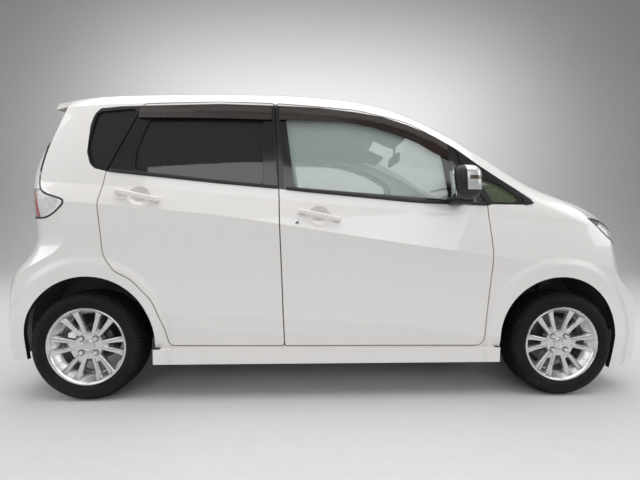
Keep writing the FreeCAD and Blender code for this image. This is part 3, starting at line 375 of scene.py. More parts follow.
def lower_fold(nodes, split):
    """Height of the fold low on the doors, which fades out before both wheels."""
    along = split.outputs["X"]
    below = nodes.math("SUBTRACT", drawn_height(nodes, along, LOWER_CREASE), split.outputs["Z"])
    fold = nodes.spread(below, -0.004, 0.045, kind="SMOOTHSTEP")
    start, end = place(-745, 0)[0], place(800, 0)[0]
    fade_in = nodes.spread(along, start, start + 0.2)
    fade_out = nodes.spread(along, end, end - 0.3)
    return nodes.product(fold, fade_in, fade_out, 1.3)


def paint(name, dark_band):
    """Pearl body paint with dust low down, the cabin's lining inside and dark wheel wells, partly their black
    liner and partly painted shade.

    dark_band adds the black band round the side windows and the fold low on the doors.
    """

    def wire(nodes, shader):
        where, split = object_place(nodes)
        spot = where.outputs["Object"]
        sparkle = nodes.spread(nodes.cells(spot, 1800.0), 0.1, 0.8, 0.0, 0.05)
        body = nodes.mix(sparkle, tone(colours().body), tone(colours().body, 0.9))
        dust = place_effect(nodes, dust_effect(), Top=0.42, Amount=0.05).outputs["Mask"]
        body = nodes.mix(dust, body, tone(colours().dust))
        rough = nodes.spread(dust, 0.0, 0.3, 0.24, 0.6)
        if dark_band:
            band = window_band(nodes, split)
            body = nodes.mix(band, body, tone(colours().trim))
        facing = nodes.add("ShaderNodeSeparateXYZ")
        nodes.link(where.outputs["Normal"], facing.inputs[0])
        side = nodes.math("SIGN", split.outputs["Y"])
        outward = nodes.math("MULTIPLY", facing.outputs["Y"], side)
        lining = cabin_side(nodes, split, outward, facing.outputs["Z"])
        speckle = nodes.spread(nodes.noise(spot, 400.0, 2.0), 0.3, 0.7)
        cloth = nodes.mix(speckle, tone(colours().lining), tone(colours().lining, 0.88))
        body = nodes.mix(lining, body, cloth)
        distance = arch_distance(nodes, split)
        # Wheel wells: inner walls near each arch are painted darker than the black trim, partly the black
        # liner of the well and partly painted shade of the dark space round the tyre.
        near = nodes.math("LESS_THAN", distance, ARCH_RADIUS + 0.03)
        arch_liner_and_shade = nodes.product(near, nodes.math("LESS_THAN", outward, 0.4))
        body = nodes.mix(arch_liner_and_shade, body, tone(colours().trim, 0.7))
        nodes.link(body, shader.inputs["Base Color"])
        dull = nodes.math("MAXIMUM", lining, arch_liner_and_shade)
        rough = nodes.math("MAXIMUM", rough, nodes.product(dull, 0.8))
        nodes.link(rough, shader.inputs["Roughness"])
        height = nodes.spread(distance, ARCH_RADIUS + 0.11, ARCH_RADIUS + 0.055, kind="SMOOTHERSTEP")
        if dark_band:
            height = nodes.math("ADD", height, lower_fold(nodes, split))
            dull = nodes.math("MAXIMUM", dull, nodes.product(band, 0.7))
        swell = nodes.bump(height, 1.0, 0.012)
        peel = nodes.bump(nodes.noise(spot, 260.0, 2.0), 0.04, 0.0005)
        nodes.link(swell.outputs["Normal"], peel.inputs["Normal"])
        nodes.link(peel.outputs["Normal"], shader.inputs["Normal"])
        nodes.link(nodes.math("SUBTRACT", 1.0, dull), shader.inputs["Coat Weight"])
        shader.inputs["Coat Roughness"].default_value = 0.03
        shader.inputs["Coat IOR"].default_value = 1.5

    return material(name, wire)


def plain(
    name, colour, rough, metallic=0.0, grain=0.0, scale=900.0, coat=0.0, dust=0.0, change=0.12,
    specular=0.5,
):
    """Moulded, cast or painted finish: tone that changes a little, grain and, low down, dust."""

    def wire(nodes, shader):
        grains = place_effect(nodes, grain_effect(), Scale=scale, Depth=grain)
        body = nodes.mix(grains.outputs["Tone"], tone(colour), tone(colour, 1 - change))
        if dust:
            mask = place_effect(nodes, dust_effect(), Top=0.6, Amount=dust).outputs["Mask"]
            body = nodes.mix(mask, body, tone(colours().dust))
        nodes.link(body, shader.inputs["Base Color"])
        patchy = nodes.spread(grains.outputs["Tone"], 0, 1, rough * 0.9, min(1.0, rough * 1.15))
        nodes.link(patchy, shader.inputs["Roughness"])
        shader.inputs["Metallic"].default_value = metallic
        shader.inputs["Specular IOR Level"].default_value = specular
        shader.inputs["Coat Weight"].default_value = coat
        shader.inputs["Coat Roughness"].default_value = 0.04
        if grain:
            nodes.link(grains.outputs["Normal"], shader.inputs["Normal"])

    return material(name, wire)


def trim_black():
    return plain("trim_black", colours().trim, 0.42, grain=0.18)


def gloss_black():
    return plain("gloss_black", colours().trim, 0.16, coat=0.6)


def rubber():
    return plain("seal_rubber", (0.018, 0.018, 0.019), 0.62, grain=0.1, scale=1600.0)


def tyre_rubber():
    return plain(
        "tyre_rubber", colours().tyre, 0.66, grain=0.25, scale=700.0, dust=0.04, specular=0.15)


def alloy():
    return plain("alloy_silver", colours().alloy, 0.26, metallic=0.8, grain=0.04, coat=0.6, dust=0.06)


def bright_metal():
    return plain("bright_metal", (0.82, 0.83, 0.85), 0.12, metallic=1.0, change=0.05)


def glazing(name, colour, alpha, rear=None):
    """Tinted glass, more solid where it is seen at a slant.

    rear is a second colour and alpha for the glass behind the car's middle.
    """

    def wire(nodes, shader):
        where, split = object_place(nodes)
        film = nodes.noise(where.outputs["Object"], 3.0, 4.0)
        body = nodes.mix(film, tone(colour, 0.92), tone(colour, 1.05))
        solid = alpha
        if rear:
            behind = nodes.math("LESS_THAN", split.outputs["X"], 0.0)
            rear_body = nodes.mix(film, tone(rear[0], 0.9), tone(rear[0], 1.1))
            body = nodes.mix(behind, body, rear_body)
            solid = nodes.spread(behind, 0, 1, alpha, rear[1])
        nodes.link(body, shader.inputs["Base Color"])
        slant = nodes.add("ShaderNodeLayerWeight")
        slant.inputs["Blend"].default_value = 0.5
        edge = nodes.math("POWER", slant.outputs["Facing"], 4.0)
        nodes.link(nodes.math("MAXIMUM", solid, edge, clamp=True), shader.inputs["Alpha"])
        nodes.link(nodes.spread(film, 0.3, 0.7, 0.01, 0.03), shader.inputs["Roughness"])
        shader.inputs["Coat Weight"].default_value = 1.0
        shader.inputs["Coat Roughness"].default_value = 0.02

    return material(name, wire)


def clear_glass():
    return glazing("clear_glass", colours().glass, CLEAR_ALPHA)


def dark_glass():
    return glazing("dark_glass", colours().dark_glass, DARK_ALPHA)


def fixed_glass():
    return glazing("fixed_glass", colours().glass, CLEAR_ALPHA, (colours().dark_glass, DARK_ALPHA))


def clear_lens():
    return glazing("clear_lens", (0.6, 0.61, 0.6), 0.14)


def visor_acrylic():
    """Smoked acrylic with painted highlight bands that run along it: lighter lines that stand in for the
    light caught by its ridges.
    """

    def wire(nodes, shader):
        where, split = object_place(nodes)
        colour = colours().visor
        drop = nodes.math("SUBTRACT", drawn_height(nodes, split.outputs["X"], BAND_TOP), split.outputs["Z"])
        # Painted highlight: lighter bands at even steps down from the visor's top edge, patchy with haze,
        # stand in for light caught on its ridges.
        bands = nodes.spread(nodes.math("SINE", nodes.product(drop, 230.0)), -0.2, 1.0)
        haze = nodes.noise(where.outputs["Object"], 6.0, 3.0)
        painted_highlight = nodes.math("MULTIPLY", bands, nodes.spread(haze, 0.3, 0.7))
        nodes.link(nodes.mix(painted_highlight, tone(colour), tone(colour, 1.9)), shader.inputs["Base Color"])
        nodes.link(nodes.spread(haze, 0.3, 0.7, 0.2, 0.3), shader.inputs["Roughness"])
        shader.inputs["Specular IOR Level"].default_value = 0.22
        shader.inputs["Alpha"].default_value = 0.95

    return material("visor_acrylic", wire)


def dash_plastic():
    return plain("dash_plastic", (0.075, 0.07, 0.066), 0.6, grain=0.35, scale=1100.0)


def lamp_red():
    return plain("lamp_red", (0.55, 0.012, 0.012), 0.1, coat=1.0, change=0.3)


def seat_cloth():
    """Woven cloth with a soft sheen."""

    def wire(nodes, shader):
        weave = place_effect(nodes, weave_effect(), Scale=210.0)
        colour = colours().seat
        body = nodes.mix(weave.outputs["Tone"], tone(colour, 0.72), tone(colour, 1.12))
        nodes.link(body, shader.inputs["Base Color"])
        nodes.link(weave.outputs["Normal"], shader.inputs["Normal"])
        shader.inputs["Roughness"].default_value = 0.9
        shader.inputs["Sheen Weight"].default_value = 0.3
        shader.inputs["Sheen Roughness"].default_value = 0.4

    return material("seat_cloth", wire)


def brake_metal():
    """Steel with patches of rust."""

    def wire(nodes, shader):
        spot = nodes.add("ShaderNodeTexCoord").outputs["Object"]
        rust = nodes.spread(nodes.noise(spot, 45.0, 8.0, 0.7), 0.5, 0.72)
        nodes.link(nodes.mix(rust, (0.2, 0.2, 0.205, 1), (0.11, 0.06, 0.04, 1)), shader.inputs["Base Color"])
        nodes.link(nodes.spread(rust, 0, 1, 0.35, 0.85), shader.inputs["Roughness"])
        nodes.link(nodes.spread(rust, 0, 1, 0.9, 0.1), shader.inputs["Metallic"])

    return material("brake_metal", wire)


def lamp_inside():
    """Faceted reflector behind a clear lens, painted a bright tone that stands in for its chrome shine,
    lighter and darker from facet to facet as painted reflection.
    """

    def wire(nodes, shader):
        facets = nodes.cells(nodes.add("ShaderNodeTexCoord").outputs["Object"], 90.0)
        nodes.link(nodes.bump(facets, 0.4, 0.002).outputs["Normal"], shader.inputs["Normal"])
        # Painted reflection: a near-white tone, darker on some facets, stands in for the light a chrome
        # reflector gives back.
        body = nodes.mix(facets, (0.92, 0.92, 0.9, 1), (0.66, 0.66, 0.64, 1))
        nodes.link(body, shader.inputs["Base Color"])
        shader.inputs["Roughness"].default_value = 0.25
        shader.inputs["Coat Weight"].default_value = 0.5

    return material("lamp_inside", wire)


# Shaping

def finish_piece(name, form, body, finish, smooth=35.0):
    """Turn a bmesh into a finished piece that rides on a CAD body."""
    mesh = bpy.data.meshes.new(name)
    form.to_mesh(mesh)
    form.free()
    piece = bpy.data.objects.new(name, mesh)
    bpy.context.scene.collection.objects.link(piece)
    mesh.materials.append(finish)
    mesh.shade_smooth()
    mesh.set_sharp_from_angle(angle=math.radians(smooth))
    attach(piece, body)
    return piece


# Looks at the car: start of a ray over two coordinates, its direction and the coordinate that it finds.
LOOKS = {
    "side": (lambda u, v: (u, -2.0, v), (0, 1, 0), 1),
    "top": (lambda u, v: (u, v, 3.0), (0, 0, -1), 2),
    "front": (lambda u, v: (3.0, u, v), (-1, 0, 0), 0),
    "rear": (lambda u, v: (-3.0, u, v), (1, 0, 0), 0),
}


def outside_of(nodes):
    """Search tree over the meshes of CAD nodes."""
    form = bmesh.new()
    for node in nodes:
        form.from_mesh(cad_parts[node].data)
    tree = BVHTree.FromBMesh(form)
    form.free()
    return tree


def surface_of(nodes, look, region, keep, degree):
    """Smooth function fitted to the outside of CAD nodes, seen from one side.

    region is (u_low, u_high, v_low, v_high) and keep the span of answers that belong to the surface.
    """
    tree = outside_of(nodes)
    u_low, u_high, v_low, v_high = region
    start_of, direction, found = LOOKS[look]
    samples = []
    for u in np.linspace(u_low, u_high, 33):
        for v in np.linspace(v_low, v_high, 33):
            hit = tree.ray_cast(Vector(start_of(u, v)), Vector(direction))[0]
            if hit is not None and keep[0] < hit[found] < keep[1]:
                samples.append((u, v, hit[found]))
    samples = np.array(samples)
    middle = ((u_low + u_high) / 2, (v_low + v_high) / 2)
    half = ((u_high - u_low) / 2, (v_high - v_low) / 2)

    def terms(u, v):
        a, b = (u - middle[0]) / half[0], (v - middle[1]) / half[1]
        powers = [(i, j) for i in range(degree + 1) for j in range(degree + 1 - i)]
        return np.stack([a ** i * b ** j for i, j in powers], -1)

    kept = samples
    for limit in (0.02, 0.006, 0.003, 0.0015):
        weights, *_ = np.linalg.lstsq(terms(kept[:, 0], kept[:, 1]), kept[:, 2], rcond=None)
        off = np.abs(terms(samples[:, 0], samples[:, 1]) @ weights - samples[:, 2])
        if (off < limit).sum() > 40:
            kept = samples[off < limit]
    return lambda u, v: float(terms(np.array(u), np.array(v)) @ weights)


def side_surface(x_low, x_high, z_low, z_high, degree):
    """Outer skin of the car's right side between drawn limits."""
    low, high = place(x_low, z_low), place(x_high, z_high)
    nodes = ("side_frame_right", "front_door_right", "rear_door_right")
    return surface_of(nodes, "side", (low[0], high[0], low[1], high[1]), (-0.76, -0.5), degree)


def slope_at(surface, y, z):
    """How far a surface falls back per metre across the car."""
    return (surface(y + 0.02, z) - surface(y - 0.02, z)) / 0.04


def strip_outline(points, width):
    """Outline of a strip of even width along drawn points."""
    sides = ([], [])
    for i, (x, z) in enumerate(points):
        before = points[max(i - 1, 0)]
        after = points[min(i + 1, len(points) - 1)]
        run = Vector((after[0] - before[0], after[1] - before[1])).normalized()
        sides[0].append((x - run.y * width / 2, z + run.x * width / 2))
        sides[1].append((x + run.y * width / 2, z - run.x * width / 2))
    return sides[0] + sides[1][::-1]


def flat_outline(points, rounding):
    """One face in the side view plane from drawn points, with rounded corners."""
    form = bmesh.new()
    corners = [form.verts.new((place(x, z)[0], 0, place(x, z)[1])) for x, z in points]
    form.faces.new(corners)
    if rounding:
        bmesh.ops.bevel(
            form, geom=form.verts[:], offset=rounding, segments=3, profile=0.5, affect="VERTICES",
            material=-1)
    return form


def cut_grid(form, step):
    """Divide flat faces by planes across the car and level planes."""
    xs = [vert.co.x for vert in form.verts]
    zs = [vert.co.z for vert in form.verts]
    for values, normal in ((xs, (1, 0, 0)), (zs, (0, 0, 1))):
        count = max(1, int((max(values) - min(values)) / step))
        for i in range(1, count):
            level = min(values) + (max(values) - min(values)) * i / count
            geometry = form.verts[:] + form.edges[:] + form.faces[:]
            bmesh.ops.bisect_plane(
                form, geom=geometry, dist=1e-6, plane_co=Vector(normal) * level, plane_no=normal)


def wall_plate(form, skin, lift, depth, step=0.03):
    """Lay a flat outline on the car's side, lifted by a height or a function, and thicken it."""
    cut_grid(form, step)
    for vert in form.verts:
        rise = lift(vert.co.x, vert.co.z) if callable(lift) else lift
        vert.co.y = skin(vert.co.x, vert.co.z) - rise
    bmesh.ops.recalc_face_normals(form, faces=form.faces[:])
    if sum(face.normal.y * face.calc_area() for face in form.faces) > 0:
        bmesh.ops.reverse_faces(form, faces=form.faces[:])
    bmesh.ops.solidify(form, geom=form.faces[:], thickness=depth)
    bmesh.ops.recalc_face_normals(form, faces=form.faces[:])
    return form


def rear_pane(half, low, high, skin, depth):
    """Closed sheet across the tailgate that follows a fitted surface."""
    form = bmesh.new()
    bmesh.ops.create_grid(form, x_segments=16, y_segments=12, size=1.0)
    for vert in form.verts:
        y = vert.co.x * half
        z = (low + high) / 2 + vert.co.y * (high - low) / 2
        vert.co = Vector((skin(y, z), y, z))
    bmesh.ops.reverse_faces(form, faces=form.faces[:])
    bmesh.ops.solidify(form, geom=form.faces[:], thickness=depth)
    bmesh.ops.recalc_face_normals(form, faces=form.faces[:])
    return form


def rounded_line(points):
    """Points of a line with its corners cut off twice."""
    for _ in range(2):
        cut = [points[0]]
        for (ax, az), (bx, bz) in zip(points, points[1:]):
            cut.append((ax * 0.75 + bx * 0.25, az * 0.75 + bz * 0.25))
            cut.append((ax * 0.25 + bx * 0.75, az * 0.25 + bz * 0.75))
        points = cut + [points[-1]]
    return points


def lofted(form, sections):
    """Closed body through sections of equally many vertices."""
    for before, after in zip(sections, sections[1:]):
        count = len(before)
        for i in range(count):
            form.faces.new((before[i], before[(i + 1) % count], after[(i + 1) % count], after[i]))
    form.faces.new(sections[0])
    form.faces.new(reversed(sections[-1]))
    bmesh.ops.recalc_face_normals(form, faces=form.faces[:])
    return form


# How deep a strip's foot lies below the surface.
STRIP_DEPTH = 0.003


def line_on(points, width, nodes, look="side", lift=0.0008):
    """Closed strip along a line, laid over the outside of CAD nodes and sunk into them.

    The points are drawn ones in the side look, and places in millimetres across and up in the others.
    """
    tree = outside_of(nodes)
    form = bmesh.new()
    stations = []
    start_of, direction, _ = LOOKS[look]
    direction = Vector(direction)
    outline = strip_outline(rounded_line(points), width * 1000)
    count = len(outline) // 2
    for ends in zip(outline[:count], reversed(outline[count:])):
        spots = []
        for x, z in ends:
            start = start_of(*place(x, z)) if look == "side" else start_of(x / 1000, z / 1000)
            spot, normal, _, _ = tree.ray_cast(Vector(start), direction)
            if spot is not None:
                spots.append((spot, normal if normal.dot(direction) < 0 else -normal))
        if len(spots) == 2:
            (a, a_out), (b, b_out) = spots
            rail = [a + a_out * lift, b + b_out * lift, b - b_out * STRIP_DEPTH, a - a_out * STRIP_DEPTH]
            stations.append([form.verts.new(corner) for corner in rail])
    return lofted(form, stations)


def soften(form, width, segments=2):
    """Round off the form's edges that turn by more than 50 degrees."""
    sharp = [
        edge for edge in form.edges
        if len(edge.link_faces) == 2 and edge.calc_face_angle(0) > math.radians(50)
    ]
    bmesh.ops.bevel(
        form, geom=sharp, offset=width, segments=segments, profile=0.5, affect="EDGES", material=-1,
        clamp_overlap=True)
    return form


def to_left(form):
    """Mirror a form to the other side of the car."""
    for vert in form.verts:
        vert.co.y = -vert.co.y
    bmesh.ops.reverse_faces(form, faces=form.faces[:])
    return form


def pad(size_xyz, centre, lean=0.0, roundness=0.45, shape=None, cuts=13):
    """Stuffed block whose sides pull in between its corners, leaned about the car's cross axis."""
    form = bmesh.new()
    bmesh.ops.create_cube(form, size=2.0)
    bmesh.ops.subdivide_edges(form, edges=form.edges[:], cuts=cuts, use_grid_fill=True)
    for vert in form.verts:
        x, y, z = vert.co
        ball = Vector((
            x * math.sqrt(1 - y * y / 2 - z * z / 2 + y * y * z * z / 3),
            y * math.sqrt(1 - x * x / 2 - z * z / 2 + x * x * z * z / 3),
            z * math.sqrt(1 - x * x / 2 - y * y / 2 + x * x * y * y / 3),
        ))
        vert.co = vert.co.lerp(ball, roundness)
        if shape:
            vert.co += Vector(shape(x, y, z))
    bmesh.ops.scale(form, vec=[length / 2 for length in size_xyz], verts=form.verts[:])
    matrix = Matrix.Translation(centre) @ Matrix.Rotation(math.radians(lean), 4, "Y")
    return moved(form, matrix)


def rod(start, end, radius):
    """Round bar with softened ends between two points."""
    form = bmesh.new()
    run = Vector(end) - Vector(start)
    turn = run.to_track_quat("Z", "Y").to_matrix().to_4x4()
    matrix = Matrix.Translation((Vector(start) + Vector(end)) / 2) @ turn
    bmesh.ops.create_cone(
        form, cap_ends=True, segments=16, radius1=radius, radius2=radius, depth=run.length, matrix=matrix)
    return soften(form, radius * 0.3)


def kept_side(form, side):
    """Only the part of a form on one side of the car."""
    far = [vert for vert in form.verts if vert.co.y * side < 0]
    bmesh.ops.delete(form, geom=far, context="VERTS")
    return form


def lamp_insert(node, side, share, shift):
    """A smaller copy of a lamp's lens on one side of the car, shifted (x, towards the middle, z)."""
    form = kept_side(cad_copy(node), side)
    return shrunk(form, share, (shift[0], -side * shift[1], shift[2]))


def shrunk(form, share, shift):
    """A form scaled about its middle and shifted."""
    middle = sum((vert.co for vert in form.verts), Vector()) / len(form.verts)
    matrix = Matrix.Translation(middle + Vector(shift)) @ Matrix.Scale(share, 4) @ Matrix.Translation(-middle)
    return moved(form, matrix)


def halved(form, where, normal):
    """Keep the part of a closed form behind a plane and close the cut."""
    cut = bmesh.ops.bisect_plane(
        form, geom=form.verts[:] + form.edges[:] + form.faces[:], dist=1e-6, plane_co=where, plane_no=normal,
        clear_outer=True)
    rim = [item for item in cut["geom_cut"] if isinstance(item, bmesh.types.BMEdge)]
    bmesh.ops.holes_fill(form, edges=rim, sides=0)
    return form


def on_both_sides(name, make, body, finish, smooth=35.0):
    """A right and a left piece, each riding on the body of its own side."""
    pieces = []
    for word, side in SIDES:
        form = make()
        if side > 0:
            to_left(form)
        target = body % word if "%s" in body else body
        pieces.append(finish_piece("%s_%s" % (name, word), form, target, finish, smooth))
    return pieces


def turned(points, steps):
    """Body turned about the Z axis from a closed outline of (radius, height) points."""
    form = bmesh.new()
    verts = [form.verts.new((r, 0, z)) for r, z in points]
    edges = [form.edges.new(ends) for ends in zip(verts, verts[1:] + verts[:1])]
    bmesh.ops.spin(
        form, geom=verts + edges, cent=(0, 0, 0), axis=(0, 0, 1), angle=2 * math.pi, steps=steps,
        use_merge=True)
    bmesh.ops.remove_doubles(form, verts=form.verts[:], dist=1e-5)
    bmesh.ops.recalc_face_normals(form, faces=form.faces[:])
    return form


def brick(size_xyz, centre, bevel, segments=2):
    """Rounded block of the given size."""
    form = bmesh.new()
    bmesh.ops.create_cube(form, size=1.0)
    bmesh.ops.scale(form, vec=size_xyz, verts=form.verts[:])
    bmesh.ops.bevel(
        form, geom=form.edges[:], offset=bevel, segments=segments, profile=0.5, affect="EDGES", material=-1)
    bmesh.ops.translate(form, vec=centre, verts=form.verts[:])
    return form


def long_bar(size_xyz, bevel, cuts):
    """Rounded bar across the car, divided along its length so that it can follow a surface."""
    form = brick(size_xyz, (0, 0, 0), bevel)
    half = size_xyz[1] / 2
    lengthwise = [edge for edge in form.edges if abs(edge.verts[0].co.y - edge.verts[1].co.y) > half]
    bmesh.ops.subdivide_edges(form, edges=lengthwise, cuts=cuts)
    return form


def plate(name, body, height, face, holder_depth, holder_middle, holder_bevel):
    """Blank number plate in front of a dark holder that is a little larger.

    face and holder_middle are the places along the car of the plate's and the holder's middle.
    """
    sizes = bpy.context.scene.car_sizes
    holder_size = (holder_depth, sizes.plate_width + PLATE_BORDER, sizes.plate_height + PLATE_BORDER)
    holder = brick(holder_size, (holder_middle, 0, height), holder_bevel)
    finish_piece(name + "_holder", holder, body, trim_black())
    sheet = brick((PLATE_THICKNESS, sizes.plate_width, sizes.plate_height), (face, 0, height), 0.0006, 1)
    finish_piece(name, sheet, body, plain("plate_white", (0.8, 0.8, 0.78), 0.35, change=0.04))


def wiper_hub(radius):
    """Cap over the spindle that a wiper turns on."""
    return turned(((0.0, 0.0), (radius, 0.0), (radius, 0.012), (0.011, 0.02), (0.0, 0.021)), 24)


def seam(distance, width):
    """Share of a sewn channel's depth at a distance from its middle."""
    return math.exp(-(distance / width) ** 2)


def joined(forms):
    """One form from several."""
    whole = bmesh.new()
    for form in forms:
        mesh = bpy.data.meshes.new("part")
        form.to_mesh(mesh)
        form.free()
        whole.from_mesh(mesh)
        bpy.data.meshes.remove(mesh)
    return whole


def at(spot, angle=0.0, axis="Z"):
    """Matrix that turns about an axis by degrees and moves to a spot."""
    return Matrix.Translation(spot) @ Matrix.Rotation(math.radians(angle), 4, axis)


def moved(form, matrix):
    """The form itself, moved by a matrix."""
    bmesh.ops.transform(form, matrix=matrix, verts=form.verts[:])
    return form


def cad_copy(node):
    """Merged copy of a CAD node's mesh."""
    form = bmesh.new()
    form.from_mesh(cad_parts[node].data)
    bmesh.ops.remove_doubles(form, verts=form.verts[:], dist=1e-5)
    return form


# Sizes and colours

def colour_property(name, text, value):
    return FloatVectorProperty(
        name=name, description=text, default=value, size=3, min=0, max=1, subtype="COLOR")


def length_property(name, text, value):
    return FloatProperty(
        name=name, description=text, default=value, min=0.0, subtype="DISTANCE", unit="LENGTH")


class CarColours(bpy.types.PropertyGroup):
    body: colour_property("Body", "Pearl paint of the body", (0.87, 0.845, 0.82))
    trim: colour_property("Trim", "Black trim, mouldings and window band", (0.011, 0.0105, 0.0105))
    visor: colour_property("Visor", "Smoked acrylic of the window visors", (0.022, 0.014, 0.012))
    glass: colour_property("Glass", "Green tint of the clear glass", (0.22, 0.27, 0.16))
    dark_glass: colour_property("Privacy glass", "Dark glass behind the front doors", (0.018, 0.019, 0.019))
    alloy: colour_property("Alloy", "Silver paint of the wheels", (0.74, 0.745, 0.75))
    tyre: colour_property("Tyre", "Rubber of the tyres", (0.0095, 0.0095, 0.01))
    seat: colour_property("Seat", "Cloth of the seats", (0.42, 0.39, 0.35))
    lining: colour_property("Lining", "Roof and door lining in the cabin", (0.62, 0.6, 0.55))
    dust: colour_property("Dust", "Dried road dust", (0.45, 0.42, 0.38))


class CarSizes(bpy.types.PropertyGroup):
    visor_flare: length_property("Visor flare", "How far a visor's lower edge stands off the door", 0.013)
    moulding_depth: length_property("Moulding depth", "How far the belt moulding stands off the door", 0.006)
    plate_width: length_property("Plate width", "Width of a blank number plate", 0.33)
    plate_height: length_property("Plate height", "Height of a blank number plate", 0.165)
    tread_blocks: IntProperty(
        name="Tread blocks", description="Blocks round a tyre", default=90, min=20, max=180)


class PieceOperator:
    """What every operator of the car shares."""
    bl_options = {"REGISTER", "UNDO"}


# Pieces

class CAR_OT_body_finish(PieceOperator, bpy.types.Operator):
    """Give the body panels, glass and chassis their finishes"""
    bl_idname = "car.body_finish"
    bl_label = "Body finish"

    def execute(self, context):
        finishes = {
            "cowl_panel": trim_black(), "interior_mirror": trim_black(),
            "windscreen": clear_glass(), "front_door_glass": clear_glass(), "side_fixed_glass": fixed_glass(),
            "rear_door_glass": dark_glass(), "tailgate_glass": dark_glass(),
            "tyre_": tyre_rubber(), "alloy_wheel": alloy(), "brake_": brake_metal(),
            "dashboard": dash_plastic(),
            "floor_pan": plain("underbody", (0.05, 0.05, 0.052), 0.8, grain=0.4, scale=120.0, dust=0.4),
            "engine_block": plain("cast_metal", (0.3, 0.3, 0.3), 0.55, metallic=0.7, grain=0.4, scale=300.0),
            "radiator": plain("radiator_fins", (0.12, 0.12, 0.12), 0.5, metallic=0.6, grain=0.6, scale=500.0),
            "fuel_tank": plain("tank_plastic", (0.03, 0.03, 0.03), 0.6, grain=0.3, scale=200.0, dust=0.3),
            "exhaust": plain(
                "exhaust_steel", (0.33, 0.29, 0.25), 0.42, metallic=0.85, grain=0.2, scale=60.0, change=0.4),
            "front_knuckle": plain(
                "chassis_black", (0.03, 0.03, 0.032), 0.55, grain=0.3, scale=250.0, dust=0.4),
            "steering_wheel": plain("wheel_grip", (0.035, 0.034, 0.034), 0.5, grain=0.3, scale=1400.0),
        }
        for node in (
            "side_frame", "front_door_right", "front_door_left", "rear_door_right", "rear_door_left",
        ):
            finishes[node] = paint("pearl_side", True)
        for node in (
            "roof_panel", "fender", "bonnet", "tailgate", "front_bumper", "rear_bumper", "side_skirts",
            "fuel_lid", "rear_panel", "door_mirror",
        ):
            finishes[node] = paint("pearl_paint", False)
        for node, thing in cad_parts.items():
            matches = [key for key in finishes if node.startswith(key)]
            finish = finishes[max(matches, key=len)] if matches else finishes["front_knuckle"]
            thing.data.materials.clear()
            thing.data.materials.append(finish)
        return {"FINISHED"}


class CAR_OT_visors(PieceOperator, bpy.types.Operator):
    """Smoked visors over the windows of the four doors"""
    bl_idname = "car.visors"
    bl_label = "Window visors"

    def execute(self, context):
        flare = context.scene.car_sizes.visor_flare

        def lift(x, z):
            high = height_on(BAND_TOP, x)
            share = (high - z) / max(high - height_on(VISOR_BOTTOM, x), 0.01)
            step = 0.003 if share > 0.32 else 0.0
            return 0.002 + step + (flare - 0.005) * share ** 1.5

        for name, start, end in (("front", -268, 612), ("rear", -975, -306)):
            top = points_on(BAND_TOP, start, end, 12, -3)
            foot = points_on(VISOR_BOTTOM, end, start, 12)
            skin = side_surface(start - 20, end + 20, 1200, 1515, 5)
            on_both_sides(
                name + "_visor",
                lambda: wall_plate(flat_outline(top + foot, 0), skin, lift, 0.0025, 0.012),
                name + "_door_%s", visor_acrylic(), 50.0)
        return {"FINISHED"}


class CAR_OT_mouldings(PieceOperator, bpy.types.Operator):
    """Belt mouldings, pillar covers and the black cap before the front door"""
    bl_idname = "car.mouldings"
    bl_label = "Mouldings"

    def execute(self, context):
        depth = context.scene.car_sizes.moulding_depth
        belt_height = 17
        skins = {
            "front_door_%s": side_surface(-280, 840, 960, 1480, 5),
            "rear_door_%s": side_surface(-1140, -240, 1030, 1510, 5),
        }
        for name, body, start, end in (
            ("front_belt", "front_door_%s", -226, 800), ("rear_belt", "rear_door_%s", -1098, -272),
        ):
            low = points_on(BAND_BOTTOM, start, end, 14)
            high = points_on(BAND_BOTTOM, end, start, 14, belt_height)

            def belt():
                form = wall_plate(flat_outline(low + high, 0), skins[body], depth, depth + 0.004, 0.05)
                return soften(form, 0.0025)

            on_both_sides(name, belt, body, trim_black())
        for name, body, lift, points in (
            ("rear_pillar_cover", "rear_door_%s", 0.0022,
             ((-986, 1158), (-1100, 1147), (-962, 1484), (-926, 1484), (-983, 1262))),
            ("rear_post_cover", "rear_door_%s", 0.0015,
             ((-272, 1073), (-342, 1080), (-349, 1424), (-300, 1424))),
            ("front_post_cover", "front_door_%s", 0.0015,
             ((-238, 1070), (-184, 1066), (-234, 1424), (-262, 1424))),
            ("mirror_panel", "front_door_%s", 0.0012,
             ((608, 1008), (762, 1004), (650, 1208), (610, 1278), (548, 1304), (578, 1235), (594, 1130))),
        ):
            on_both_sides(
                name, lambda: wall_plate(flat_outline(points, 0.004), skins[body], lift, lift + 0.001),
                body, gloss_black())
        nose = side_surface(760, 1070, 975, 1180, 3)

        def cap():
            outline = ((1004, 996), (1050, 1004), (1056, 1014), (1012, 1050), (1000, 1044))
            return soften(wall_plate(flat_outline(outline, 0.008), nose, 0.003, 0.005), 0.0015)

        on_both_sides("front_cap", cap, "body", trim_black())
        return {"FINISHED"}


